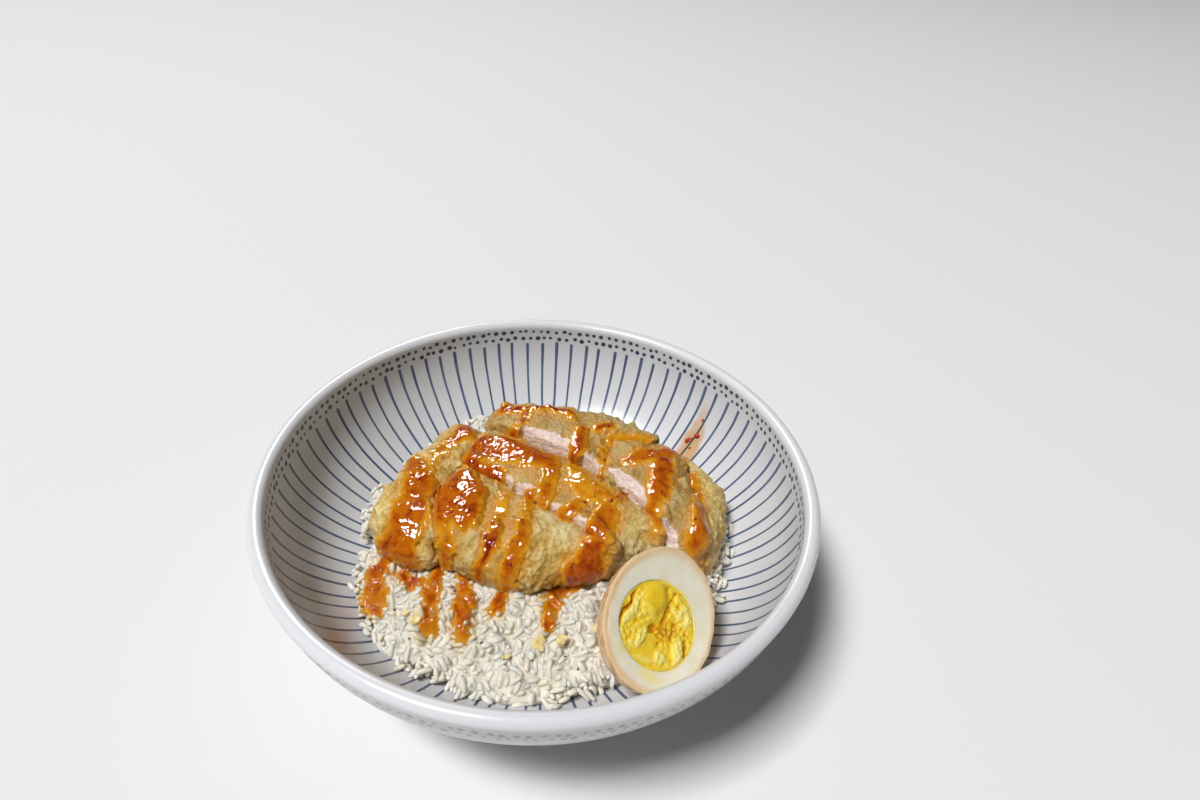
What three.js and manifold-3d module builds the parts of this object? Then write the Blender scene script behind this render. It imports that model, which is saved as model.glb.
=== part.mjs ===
// A wide white bowl of rice with a sliced cutlet in crisp batter, a sweet chilli glaze
// and half a seasoned egg. Millimetres, +Z up. The bowl stands on its foot ring at z = 0,
// X runs to the right, Y runs away from the eater, and the axis of the bowl is at x = y = 0.
import * as THREE from 'three';
import { mergeVertices } from 'three/addons/utils/BufferGeometryUtils.js';
import Module from 'manifold-3d';

const wasm = await Module();
wasm.setup();

// Bowl
const BOWL_RADIUS = 110;
const BOWL_HEIGHT = 74;
const LIP_RADIUS = 3;
const LIP_START = -0.8;
const LIP_OVERHANG = 0.13;
const OUTER_RADIUS = 109;
const OUTER_DEPTH = 65;
const INNER_RADIUS = 104;
const INNER_DEPTH = 60;
const INNER_POWER = 2.1;
const FOOT_OUTER = 42;
const FOOT_INNER = 37.5;
const FOOT_ROUND = 1;
const FOOT_FILLET = 3;
const BOWL_SIDES = 60;
const WALL_STEPS = 8;
const LIP_STEPS = 5;
const LIP_Z = BOWL_HEIGHT - LIP_RADIUS;

// Rice
const RICE_TOP = 45;
const RICE_RISE = 14.5;
const RICE_SPREAD = 86;
const RICE_POWER = 2.6;
const RICE_BUMP = 0.7;
const RICE_BUMP_SIZE = 22;
const RICE_EDGE = 79.6;
const RICE_WAVES = [[3, 1.1, 1], [7, 1.3, 0], [12, 0.8, 2]];
const RICE_DIP = 4.5;
const RICE_DIP_ANGLE = 3.2;
const RICE_DIP_WIDTH = 0.32;
const RICE_SIDES = 40;
const RICE_LOW_RINGS = 4;
const RICE_HIGH_RINGS = 6;
const RICE_THIN = 0.8;
const CORE_BELOW = 0.7;
const GRAIN_LENGTH = 8.4;
const GRAIN_WIDTH = 2.7;
const GRAIN_SIDES = 5;
const GRAIN_TAPER = 0.62;
const GRAIN_SPACING = 5.1;
const GRAIN_TILT = 0.45;
const GRAIN_COUNT = 84;
const GRAIN_TRIES = 4000;

// Cutlet
const UNDER_GAP = 0.5;
const CUT_GAP = 0.45;
const SLICE_STEP = 7.5;
const CRUST_RADIUS = 7;
const CRUST_CURL = 2.6;
const CRUST_ROUGH = 0.55;
const CRUST_ROUGH_SIZE = 8;
const CRUST_SHOULDER = 6;
const CRUST_BULGE_INSET = 1.5;
const TOP_POWER = 2.5;
const TOP_RINGS = [0.6, 0.28];
const CUT_CHAMFER = 0.5;
const GLAZE_RISE = 1.1;

// Egg half: the middle of its cut face, the way the face looks, and its long axis
const EGG_LENGTH = 52.5;
const EGG_WIDTH = 42.7;
const EGG_BLUNT = 0.03;
const EGG_MIDDLE = new THREE.Vector3(47.8, -60.3, 61.4);
const EGG_FACE = new THREE.Vector3(0.41, -0.385, 0.827).normalize();
const EGG_LONG = new THREE.Vector3(0.33, 0.91, 0.26);
const EGG_SIDES = 32;
const EGG_RINGS = 6;
const EGG_EDGE = 0.8;
const EGG_BULGE = 0.3;
const YOLK_RINGS = 3;
const YOLK_LENGTH = 31.5;
const YOLK_WIDTH = 29.5;
const YOLK_SHIFT = [-0.8, -2.4];
const YOLK_DEPTH = 14;
const YOLK_GAP = 0.35;
const YOLK_CRUMB = 0.7;
const YOLK_CRUMB_SIZE = 7;
const YOLK_FACE = [[0.92, 0.2], [0.7, 0.6], [0.4, 0.3]];

// Nothing touches: what the rice keeps from the wall, the egg and the slices
const WALL_CLEAR = 0.56;
const EGG_CLEAR = 0.7;
const EGG_HEADROOM = 12;
const SLICE_CLEAR = 1.2;

// Repeatable random numbers between 0 and 1
function drawer(seed) {
  let state = seed;
  return () => {
    state = (Math.imul(state, 1664525) + 1013904223) >>> 0;
    return state / 4294967296;
  };
}

// A smooth uneven value between -1 and 1 for a place, with bumps about one size across
function uneven(x, y, size) {
  const a = x / size * 2.1;
  const b = y / size * 2.1;
  return (Math.sin(a + 1.7 * Math.sin(b * 0.9)) + Math.sin(1.3 * b + 1.1 * Math.sin(a * 1.2 + 2))
    + Math.sin(0.8 * (a - b) + 4)) / 3;
}

// A closed mesh from stacked rings of points, shut at both ends by a middle point
function ringBody(first, rings, last) {
  const count = rings[0].length;
  const points = [first, ...rings.flat(), last];
  const faces = [];
  const at = (ring, side) => 1 + ring * count + (side % count);
  for (let side = 0; side < count; side += 1) {
    faces.push(0, at(0, side + 1), at(0, side));
    for (let ring = 0; ring + 1 < rings.length; ring += 1) {
      const a = at(ring, side);
      const b = at(ring, side + 1);
      const c = at(ring + 1, side + 1);
      const d = at(ring + 1, side);
      faces.push(a, b, c, a, c, d);
    }
    faces.push(points.length - 1, at(rings.length - 1, side), at(rings.length - 1, side + 1));
  }
  const geometry = new THREE.BufferGeometry();
  geometry.setAttribute('position', new THREE.Float32BufferAttribute(points.flatMap((p) => [...p]), 3));
  geometry.setIndex(faces);
  return geometry;
}

// Between a three.js mesh and a solid that can be cut and joined
function toSolid(geometry) {
  const bare = geometry.clone();
  bare.deleteAttribute('normal');
  bare.deleteAttribute('uv');
  const merged = mergeVertices(bare, 1e-4);
  return new wasm.Manifold(new wasm.Mesh({
    numProp: 3,
    vertProperties: new Float32Array(merged.attributes.position.array),
    triVerts: new Uint32Array(merged.index.array),
  }));
}

function toGeometry(solid) {
  const mesh = solid.getMesh();
  const geometry = new THREE.BufferGeometry();
  geometry.setAttribute('position', new THREE.BufferAttribute(new Float32Array(mesh.vertProperties), 3));
  geometry.setIndex(new THREE.BufferAttribute(new Uint32Array(mesh.triVerts), 1));
  return geometry;
}

// Largest part of a solid, so that no scrap stays behind after a cut
function mainPart(solid) {
  return solid.decompose().sort((a, b) => b.volume() - a.volume())[0];
}

// Height of the bowl's inner wall at a distance from its axis
function innerWall(radius) {
  const share = Math.min(radius / INNER_RADIUS, 1);
  return LIP_Z - INNER_DEPTH * (1 - share ** INNER_POWER) ** (1 / INNER_POWER);
}

function outerWall(radius) {
  return LIP_Z - OUTER_DEPTH * Math.sqrt(1 - (radius / OUTER_RADIUS) ** 2);
}

// Lathe outline: under the floor, foot ring, outer wall, rounded lip, inner wall, floor
function bowlGeometry() {
  const outline = [new THREE.Vector2(0, outerWall(0))];
  const foot = [
    [FOOT_INNER, outerWall(FOOT_INNER)], [FOOT_INNER, FOOT_ROUND], [FOOT_INNER + FOOT_ROUND, 0],
    [FOOT_OUTER - FOOT_ROUND, 0], [FOOT_OUTER, FOOT_ROUND],
    [FOOT_OUTER, outerWall(FOOT_OUTER) - FOOT_FILLET],
  ];
  for (const [x, z] of foot) outline.push(new THREE.Vector2(x, z));
  const lipRing = BOWL_RADIUS - LIP_RADIUS;
  const wallTop = Math.acos((lipRing + LIP_RADIUS * Math.cos(LIP_START) - LIP_OVERHANG) / OUTER_RADIUS);
  const wallFoot = Math.acos((FOOT_OUTER + FOOT_FILLET) / OUTER_RADIUS);
  for (let i = 0; i < WALL_STEPS; i += 1) {
    const turn = wallFoot + (wallTop - wallFoot) * (i / WALL_STEPS);
    outline.push(new THREE.Vector2(OUTER_RADIUS * Math.cos(turn), LIP_Z - OUTER_DEPTH * Math.sin(turn)));
  }
  for (let i = 0; i <= LIP_STEPS; i += 1) {
    const turn = LIP_START + (Math.PI - LIP_START) * (i / LIP_STEPS);
    const radius = lipRing + LIP_RADIUS * Math.cos(turn);
    outline.push(new THREE.Vector2(radius, LIP_Z + LIP_RADIUS * Math.sin(turn)));
  }
  for (let i = 1; i < WALL_STEPS + 1; i += 1) {
    const turn = (Math.PI / 2) * (i / (WALL_STEPS + 1));
    const radius = INNER_RADIUS * Math.cos(turn) ** (2 / INNER_POWER);
    outline.push(new THREE.Vector2(radius, innerWall(radius)));
  }
  outline.push(new THREE.Vector2(0, innerWall(0)));
  return new THREE.LatheGeometry(outline, BOWL_SIDES).rotateX(Math.PI / 2);
}

// Height of the rice heap: flat in the middle where the cutlet lies, falling to the wall
function riceHeight(x, y) {
  const radius = Math.hypot(x, y);
  const fall = RICE_RISE * (radius / RICE_SPREAD) ** RICE_POWER;
  return RICE_TOP - fall + RICE_BUMP * uneven(x, y, RICE_BUMP_SIZE);
}

// How far the heap reaches in a direction: wavy, and less beside the left slice
function riceReach(angle) {
  const waves = RICE_WAVES.map(([count, height, start]) => height * Math.sin(count * angle + start));
  const dip = RICE_DIP * Math.exp(-(((angle - RICE_DIP_ANGLE) / RICE_DIP_WIDTH) ** 2));
  return waves.reduce((sum, wave) => sum + wave, RICE_EDGE - dip);
}

// The slices. Each point of an outline is x, y, the height of the top beside it, and how
// far the edge is rounded crust (1) or a straight knife cut (0). The knife cuts are shared.
const CUT_LEFT = [[-31, 28], [-33.5, 18], [-34.5, 12], [-38.5, 4], [-40.5, -7], [-39.5, -18],
  [-37.5, -31]];
const CUT_FRONT = [[-34.5, 12], [-31, 9], [-22, 4], [-14, -1], [-5, -7], [6, -14], [19, -23],
  [29.5, -29.5]];
const CUT_BACK = [[-30, 31], [-22, 31.5], [-12, 28], [-1, 22], [9, 17], [18, 12], [25, 6], [34, -2], [40, -8],
  [45, -11], [49.5, -19]];
const CUT_SIDE = [[25, 6], [27, 18], [30, 26], [40, 26], [47.5, 34]];
const CUT_END = [[56, 33], [60, 24], [61, 11], [65.5, -1], [67, -13], [67, -21]];

const edge = (line, top, round) => line.map(([x, y]) => [x, y, top, round]);
const back = (line) => [...line].reverse();

const SLICES = [
  {
    name: 'chicken_left', top: 62.5, seed: 1, shade: 0xb9822c,
    outline: [[-36, 41, 58, 1], [-43, 41, 57, 1], [-50, 33, 57, 1], [-50.5, 21, 57, 1], [-57, 18, 56, 1],
      [-61, 9, 55, 1], [-65, -2, 54, 1], [-67.5, -11, 53, 1], [-65, -21, 53, 1], [-58, -28, 53, 1],
      [-49, -33, 54, 1], [-40, -33, 56, 1], ...edge(back(CUT_LEFT), 61.5, 0.45)],
  },
  {
    name: 'chicken_front', top: 62.5, seed: 2, shade: 0xc99a3e,
    outline: [...edge(CUT_FRONT, 60.8, 0), [30, -31.5, 57, 1], [25, -33, 56, 1], [15, -38.5, 56, 1],
      [4, -41, 57, 1], [-8, -43, 57, 1], [-18, -38.5, 57, 1], [-27, -37, 57, 1],
      ...edge(back(CUT_LEFT.slice(3)), 60.5, 0.45)],
  },
  {
    name: 'chicken_middle', top: 64.6, seed: 3, shade: 0xc59338,
    outline: [...edge(CUT_BACK, 61, 0), [47, -23, 55, 1], [39, -25, 56, 1], [33, -28, 58, 1],
      ...edge(back(CUT_FRONT), 63.6, 0), ...edge(back(CUT_LEFT.slice(0, 2)), 61, 0.6)],
  },
  {
    name: 'chicken_back', top: 67, seed: 4, shade: 0xc8a04a,
    outline: [[-29.5, 42, 60, 1], [-31, 49, 58, 1], [-26, 56, 57, 1], [-17, 54, 59, 1], [-7, 54, 59, 1],
      [2, 55.5, 59, 1], [10, 51.5, 59, 1], [20, 53, 58, 1], [31, 51, 57, 1], [40, 46.5, 56, 1],
      ...edge(back(CUT_SIDE), 64, 0.1), ...edge(back(CUT_BACK.slice(1, 6)), 67.4, 0), [-26, 36, 63, 0.6]],
  },
  {
    name: 'chicken_right', top: 65.5, seed: 5, shade: 0xb58a35,
    outline: [...edge(CUT_SIDE.slice(0, 4), 66, 0), [51, 31.5, 62, 0.7], ...edge(CUT_END.slice(1), 60, 0.6),
      [61, -26, 56, 1], [53, -25, 57, 0.6], ...edge(back(CUT_BACK.slice(7)), 65.5, 0)],
  },
  {
    name: 'chicken_end', top: 55.5, seed: 6, shade: 0xc7a651,
    outline: [...edge(CUT_END, 56, 0.4), [70.5, -20, 51, 1], [74.5, -9, 51, 1], [77, 5, 52, 1],
      [76.5, 19, 53, 1], [69.5, 25, 54, 1], [65, 31, 54, 1], [58, 37, 54, 1]],
  },
];

// Thick streaks of glaze over the slices: the middle line and its width
const STREAKS = [
  { width: 21, line: [[-51, 12], [-53, -2], [-54, -15]] },
  { width: 13, line: [[-45, 33], [-37, 30]] },
  { width: 20, line: [[-29, -5], [-28, -14]] },
  { width: 8, line: [[-35, -20], [-34, -33]] },
  { width: 7, line: [[-13, -8], [-16, -24], [-20, -33]] },
  { width: 8, line: [[-4, -16], [-8, -30], [-11, -40]] },
  { width: 15, line: [[-27, 22], [-18, 20], [-8, 17]] },
  { width: 9, line: [[2, 14], [-2, 4], [-3, -4]] },
  { width: 12, line: [[17, 2], [30, -4], [24, -14], [17, -28]] },
  { width: 9, line: [[-14, 48], [-8, 38]] },
  { width: 10, line: [[10, 38], [12, 26]] },
  { width: 15, line: [[38, 19], [51, 20], [46, 8], [50, -6]] },
  { width: 9, line: [[62, 6], [60, -8], [61, -18]] },
];

function glaze(x, y) {
  let rise = 0;
  for (const { width, line } of STREAKS) {
    for (let i = 0; i + 1 < line.length; i += 1) {
      const [ax, ay] = line[i];
      const [bx, by] = line[i + 1];
      const long = (bx - ax) ** 2 + (by - ay) ** 2;
      const share = THREE.MathUtils.clamp(((x - ax) * (bx - ax) + (y - ay) * (by - ay)) / long, 0, 1);
      const away = Math.hypot(x - ax - share * (bx - ax), y - ay - share * (by - ay)) / (width / 2);
      if (away < 1) rise = Math.max(rise, GLAZE_RISE * (1 - away ** 4));
    }
  }
  return rise;
}

// Short steps along a closed outline that keep its corners; each value rides along
function walk(outline, step) {
  return outline.flatMap((point, i) => {
    const next = outline[(i + 1) % outline.length];
    const parts = Math.ceil(Math.hypot(next[0] - point[0], next[1] - point[1]) / step);
    return Array.from({ length: parts }, (_, k) => (
      point.map((value, j) => value + ((next[j] - value) * k) / parts)));
  });
}

// 1 for an outline that runs counterclockwise, -1 for the other way
function turnOf(steps) {
  let area = 0;
  steps.forEach((step, i) => {
    const next = steps[(i + 1) % steps.length];
    area += step[0] * next[1] - next[0] * step[1];
  });
  return Math.sign(area);
}

// Round off the corners of the crust, leave the knife cuts straight
function soften(steps) {
  return steps.map((step, i) => {
    const before = steps[(i + steps.length - 1) % steps.length];
    const after = steps[(i + 1) % steps.length];
    const share = 0.45 * Math.max(step[3] - 0.5, 0) * 2;
    return step.map((value, k) => (k < 2 ? value + ((before[k] + after[k]) / 2 - value) * share : value));
  });
}

// Shift each step sideways: in by a gap at a cut, out and in by the crags of the crust
function ragged(steps, seed) {
  return steps.map((step, i) => {
    const before = steps[(i + steps.length - 1) % steps.length];
    const after = steps[(i + 1) % steps.length];
    const along = new THREE.Vector2(after[0] - before[0], after[1] - before[1]).normalize();
    const wave = uneven(step[0] + 31 * seed, step[1] - 17 * seed, 5) * CRUST_ROUGH;
    const shift = -CUT_GAP + Math.max(step[3] - 0.6, 0) * 3 * wave;
    return [step[0] + along.y * shift, step[1] - along.x * shift, step[2], step[3]];
  });
}

// One slice. Its underside follows the rice, its crust curls in below and rounds over at
// the top, and its knife cuts are upright
function sliceGeometry({ outline, top, seed }) {
  let steps = walk(outline, SLICE_STEP);
  if (turnOf(steps) < 0) steps = back(steps);
  steps = ragged(soften(steps), seed);
  const middle = [0, 1].map((k) => steps.reduce((sum, step) => sum + step[k], 0) / steps.length);
  const under = (x, y) => riceHeight(x, y) + UNDER_GAP;
  const ring = (inset, share, height) => steps.map((step) => {
    const reach = Math.hypot(step[0] - middle[0], step[1] - middle[1]);
    const kept = share * (1 - (inset * Math.min(1, reach / (2 * CRUST_RADIUS))) / reach);
    const [x, y] = [0, 1].map((k) => middle[k] + (step[k] - middle[k]) * kept);
    return [x, y, height(x, y, step, kept)];
  });
  const over = (drop, chamfer) => (x, y, step, kept) => {
    const level = top + (step[2] - top) * kept ** TOP_POWER - chamfer * (1 - step[3]);
    const rough = CRUST_ROUGH * uneven(x + 13 * seed, y + 7 * seed, CRUST_ROUGH_SIZE);
    return level - drop * step[3] + rough + glaze(x, y);
  };
  const below = (lift) => (x, y, step) => under(x, y) + lift * step[3];
  const rings = [
    ring(CRUST_RADIUS, 1, below(0)),
    ring(CRUST_BULGE_INSET, 1, below(CRUST_CURL / 2)),
    ring(0, 1, below(CRUST_CURL * 2)),
  ];
  for (let turn = 0; turn <= 90; turn += 30) {
    const lean = THREE.MathUtils.degToRad(turn);
    const chamfer = turn === 0 ? CUT_CHAMFER : 0;
    const inset = CRUST_RADIUS * (1 - Math.cos(lean));
    rings.push(ring(inset, 1, over(CRUST_SHOULDER * (1 - Math.sin(lean)), chamfer)));
  }
  for (const share of TOP_RINGS) rings.push(ring(CRUST_RADIUS, share, over(0, 0)));
  const [x, y] = middle;
  return ringBody([x, y, under(x, y)], rings, [x, y, over(0, 0)(x, y, [x, y, top, 0], 0)]);
}

// The egg's own axes: across, long and out of the cut face
const eggOut = EGG_FACE;
const eggLong = EGG_LONG.clone().addScaledVector(eggOut, -EGG_LONG.dot(eggOut)).normalize();
const eggAcross = new THREE.Vector3().crossVectors(eggLong, eggOut);

function eggPoint(across, along, out) {
  return EGG_MIDDLE.clone().addScaledVector(eggAcross, across).addScaledVector(eggLong, along)
    .addScaledVector(eggOut, out).toArray();
}

// An egg outline of a given size, blunter below, shrunk to a share of it
function eggRing(length, width, shift, share, out) {
  const ring = [];
  for (let i = 0; i < EGG_SIDES; i += 1) {
    const turn = (2 * Math.PI * i) / EGG_SIDES;
    const across = (width / 2) * Math.cos(turn) * (1 - EGG_BLUNT * Math.sin(turn)) * share;
    const along = (length / 2) * Math.sin(turn) * share;
    ring.push(eggPoint(across + shift[0], along + shift[1], out));
  }
  return ring;
}

// A dome behind the cut face, from its pole to near the face
function eggDome(length, width, shift, depth, ringCount) {
  const rings = [];
  for (let i = 1; i <= ringCount; i += 1) {
    const turn = (Math.PI / 2) * (i / ringCount);
    rings.push(eggRing(length, width, shift, Math.sin(turn), -depth * Math.cos(turn)));
  }
  return rings;
}

// The white: the round back, the cut face, and the hollow that holds the yolk
function eggWhiteGeometry() {
  const [length, width] = [YOLK_LENGTH + 2 * YOLK_GAP, YOLK_WIDTH + 2 * YOLK_GAP];
  const depth = YOLK_DEPTH + YOLK_GAP;
  const hollow = eggDome(length, width, YOLK_SHIFT, depth, YOLK_RINGS);
  const rings = [
    ...eggDome(EGG_LENGTH, EGG_WIDTH, [0, 0], EGG_WIDTH / 2, EGG_RINGS),
    eggRing(EGG_LENGTH - 2 * EGG_EDGE, EGG_WIDTH - 2 * EGG_EDGE, [0, 0], 1, EGG_BULGE),
    ...back(hollow),
  ];
  return ringBody(eggPoint(0, 0, -EGG_WIDTH / 2), rings, eggPoint(...YOLK_SHIFT, -depth));
}

// The yolk: a dome with a crumbly cut face
function eggYolkGeometry() {
  const crumb = (share, lift) => eggRing(YOLK_LENGTH, YOLK_WIDTH, YOLK_SHIFT, share, 0)
    .map(([x, y, z]) => {
      const rise = lift + YOLK_CRUMB * uneven(x, y, YOLK_CRUMB_SIZE);
      return [x + eggOut.x * rise, y + eggOut.y * rise, z + eggOut.z * rise];
    });
  const rings = [
    ...eggDome(YOLK_LENGTH, YOLK_WIDTH, YOLK_SHIFT, YOLK_DEPTH, YOLK_RINGS),
    ...YOLK_FACE.map(([share, lift]) => crumb(share, lift)),
  ];
  return ringBody(eggPoint(...YOLK_SHIFT, -YOLK_DEPTH), rings, eggPoint(...YOLK_SHIFT, 0));
}

// True where a place is inside an outline grown by a margin
function insideOutline(x, y, outline, margin) {
  let inside = false;
  let near = Infinity;
  outline.forEach(([ax, ay], i) => {
    const [bx, by] = outline[(i + 1) % outline.length];
    if ((ay > y) !== (by > y) && x < ((bx - ax) * (y - ay)) / (by - ay) + ax) inside = !inside;
    const share = THREE.MathUtils.clamp(((x - ax) * (bx - ax) + (y - ay) * (by - ay))
      / ((bx - ax) ** 2 + (by - ay) ** 2), 0, 1);
    near = Math.min(near, Math.hypot(x - ax - share * (bx - ax), y - ay - share * (by - ay)));
  });
  return inside || near < margin;
}

// True where a point is in the egg half, in the way of its face, or closer than a margin
function nearEgg(point, margin) {
  const away = new THREE.Vector3(...point).sub(EGG_MIDDLE);
  const across = away.dot(eggAcross) / (EGG_WIDTH / 2 + margin);
  const along = away.dot(eggLong) / (EGG_LENGTH / 2 + margin);
  const out = Math.min(away.dot(eggOut), 0) / (EGG_WIDTH / 2 + margin);
  return across ** 2 + along ** 2 + out ** 2 < 1;
}

// The bare heap: follows the wall below, bumpy on top
function riceCoreGeometry() {
  const polar = (angle, share, height) => {
    const radius = riceReach(angle) * share;
    const x = radius * Math.cos(angle);
    const y = radius * Math.sin(angle);
    return [x, y, height(x, y)];
  };
  const ring = (share, height) => Array.from({ length: RICE_SIDES }, (_, i) => (
    polar((2 * Math.PI * i) / RICE_SIDES, share, height)));
  const low = (x, y) => innerWall(Math.hypot(x, y)) + WALL_CLEAR;
  const high = (x, y) => Math.max(riceHeight(x, y) - CORE_BELOW, low(x, y) + RICE_THIN);
  const rings = [];
  for (let i = 1; i <= RICE_LOW_RINGS; i += 1) {
    rings.push(ring(Math.sin((Math.PI / 2) * (i / RICE_LOW_RINGS)), low));
  }
  for (let i = RICE_HIGH_RINGS; i >= 1; i -= 1) rings.push(ring(0.995 * (i / RICE_HIGH_RINGS) ** 0.8, high));
  return ringBody([0, 0, low(0, 0)], rings, [0, 0, high(0, 0)]);
}

// A spindle with few sides, lying along X
function grainGeometry(length, width) {
  const rings = [GRAIN_TAPER, 0, -GRAIN_TAPER].map((share) => {
    const radius = (width / 2) * Math.sqrt(1 - share ** 2);
    return Array.from({ length: GRAIN_SIDES }, (_, i) => {
      const turn = (2 * Math.PI * i) / GRAIN_SIDES;
      return [(-share * length) / 2, radius * Math.cos(turn), radius * Math.sin(turn)];
    });
  });
  return ringBody([-length / 2, 0, 0], rings, [length / 2, 0, 0]);
}

// Grains in the heap's surface, clear of the bowl, the slices and the egg
function riceGeometry() {
  const draw = drawer(7);
  const [length, width] = [EGG_LENGTH + 2 * EGG_CLEAR, EGG_WIDTH + 2 * EGG_CLEAR];
  const eggRings = [
    ...eggDome(length, width, [0, 0], width / 2, EGG_RINGS),
    eggRing(length, width, [0, 0], 1, EGG_HEADROOM),
  ];
  const eggGrown = toSolid(ringBody(eggPoint(0, 0, -width / 2), eggRings, eggPoint(0, 0, EGG_HEADROOM)));
  let heap = mainPart(toSolid(riceCoreGeometry()).subtract(eggGrown));
  const outlines = SLICES.map((slice) => walk(slice.outline, SLICE_STEP));
  const free = (point) => {
    const [x, y, z] = point;
    if (z < innerWall(Math.hypot(x, y)) + WALL_CLEAR || nearEgg(point, EGG_CLEAR)) return false;
    const underSlice = outlines.some((outline) => insideOutline(x, y, outline, SLICE_CLEAR));
    return !underSlice || z < riceHeight(x, y) - CORE_BELOW / 2;
  };
  const grains = [];
  for (let i = 0; i < GRAIN_TRIES && grains.length < GRAIN_COUNT; i += 1) {
    const angle = 2 * Math.PI * draw();
    const radius = riceReach(angle) * Math.sqrt(0.12 + 0.9 * draw());
    const spot = new THREE.Vector3(radius * Math.cos(angle), radius * Math.sin(angle), 0);
    const near = grains.some((grain) => grain.spot.distanceTo(spot) < GRAIN_SPACING);
    const geometry = grainGeometry(GRAIN_LENGTH * (0.8 + 0.3 * draw()), GRAIN_WIDTH * (0.9 + 0.2 * draw()));
    geometry.rotateX(Math.PI * draw());
    geometry.rotateY(GRAIN_TILT * (2 * draw() - 1));
    geometry.rotateZ(Math.PI * draw());
    const height = Math.max(riceHeight(spot.x, spot.y), innerWall(radius) + GRAIN_WIDTH / 2);
    geometry.translate(spot.x, spot.y, height);
    const position = geometry.attributes.position;
    const points = Array.from({ length: position.count }, (_, k) => (
      [position.getX(k), position.getY(k), position.getZ(k)]));
    if (!near && points.every(free)) grains.push({ spot, geometry });
  }
  for (const { geometry } of grains) heap = heap.add(toSolid(geometry));
  return toGeometry(mainPart(heap));
}

const object = new THREE.Group();

function add(name, geometry, color, roughness) {
  const material = new THREE.MeshStandardMaterial({ color, roughness, metalness: 0 });
  const mesh = new THREE.Mesh(geometry, material);
  mesh.name = name;
  object.add(mesh);
}

add('bowl', bowlGeometry(), 0xd9dcdf, 0.2);
add('rice', riceGeometry(), 0xf0efec, 0.55);
for (const slice of SLICES) add(slice.name, sliceGeometry(slice), slice.shade, 0.5);
add('egg_white', eggWhiteGeometry(), 0xf1ead9, 0.4);
add('egg_yolk', eggYolkGeometry(), 0xe3b71f, 0.7);

export default object;
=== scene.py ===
"""A wide striped bowl of rice with a sliced crisp cutlet under chilli glaze and half a seasoned egg.

Sizes and places are in millimetres in the part's own frame: z is 0 under the foot ring, X runs to the
right, Y runs away from the eater, and the bowl's axis is at x = y = 0. Meshes are scaled to metres
when they are made.
"""
import itertools
import math

import bpy
import numpy as np
from mathutils import Matrix, Vector
from mathutils.bvhtree import BVHTree


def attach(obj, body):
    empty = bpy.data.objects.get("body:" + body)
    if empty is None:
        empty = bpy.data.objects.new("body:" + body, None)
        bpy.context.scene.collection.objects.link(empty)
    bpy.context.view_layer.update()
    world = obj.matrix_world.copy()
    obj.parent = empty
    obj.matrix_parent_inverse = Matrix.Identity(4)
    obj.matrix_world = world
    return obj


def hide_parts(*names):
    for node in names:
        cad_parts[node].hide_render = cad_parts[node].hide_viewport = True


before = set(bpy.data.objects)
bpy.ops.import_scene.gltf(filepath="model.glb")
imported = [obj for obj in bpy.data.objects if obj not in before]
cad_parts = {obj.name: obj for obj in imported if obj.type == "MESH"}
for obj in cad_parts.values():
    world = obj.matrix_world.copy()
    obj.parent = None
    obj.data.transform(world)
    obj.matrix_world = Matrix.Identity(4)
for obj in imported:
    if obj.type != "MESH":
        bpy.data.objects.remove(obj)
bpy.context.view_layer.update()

bl_info = {
    "name": "Crispy Chicken Donburi",
    "version": (1, 0, 0),
    "blender": (4, 5, 0),
    "location": "3D View > Sidebar > Donburi",
    "description": "Makes a striped rice bowl with a glazed cutlet and half an egg",
    "category": "Object",
}

MM = 0.001
BODY = "root"

# Turn of the noise grid, so that no bump or ridge runs level
SLANT = np.array([[0.36, 0.48, -0.8], [-0.8, 0.6, 0.0], [0.48, 0.64, 0.6]])

# Camera: its place, how far it looks down and how far it is rolled, in degrees
CAMERA_PLACE = (20.85, -220.95, 277.34)
CAMERA_DOWN = 37.55
CAMERA_ROLL = 4.37
CAMERA_LENS = 22.5
CAMERA_SENSOR = 36

# Light: a window behind on the left that gives the glints, and a soft light from high on the left
LIGHT_AIM = (0, 0, 40)
WINDOW_PLACE = (-840, 1880, 1700)
WINDOW_SIZE = (1300, 480)
WINDOW_ROLL = 50
WINDOW_TONE = (1, 0.95, 0.94)
HIGH_PLACE = (-2700, -2110, 6975)
HIGH_SIZE = (2000, 1500)
HIGH_TONE = (1, 1, 1)
FLOOR_HALF = 6000

# Rays: heights that those looking down and up start from, and the height that stands for open sky
RAY_TOP = 200
RAY_FLOOR = 20
OPEN_SKY = 200

# Bowl
BOWL_RADIUS = 110
LIP_RADIUS = 3
LIP_Z = 71
LIP_START = -0.8
LIP_OVERHANG = 0.13
OUTER_RADIUS = 109
OUTER_DEPTH = 65
INNER_RADIUS = 104
INNER_DEPTH = 60
INNER_POWER = 2.1
FOOT_OUTER = 42
FOOT_INNER = 37.5
FOOT_ROUND = 1
FOOT_FILLET = 3
BOWL_SIDES = 240

# Points on each stretch of the bowl's outline
FLOOR_POINTS = 8
ROUND_POINTS = 6
FILLET_POINTS = 7
OUTER_POINTS = 37
LIP_POINTS = 22
INNER_POINTS = 62

# Painted pattern inside the bowl: stripes below two rows of dots
STRIPE_TOP = 62.4
STRIPE_TOP_SHIFT = 1.5
STRIPE_SHIFT = 0.22
STRIPE_WAVER = 0.45
DOT_ROWS = ((69.06, 0.0), (65.36, 0.35))
DOT_STRETCH = 1.05
OUTER_DOT_ROWS = ((65.2, 0.0), (62.2, 0.5))

# Sauce that ran down the wall: its two ends and its half width
SMEAR_TOP = (72.6, 70.3, 55)
SMEAR_END = (63.5, 54.5, 34)
SMEAR_HALF = 5.2

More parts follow.
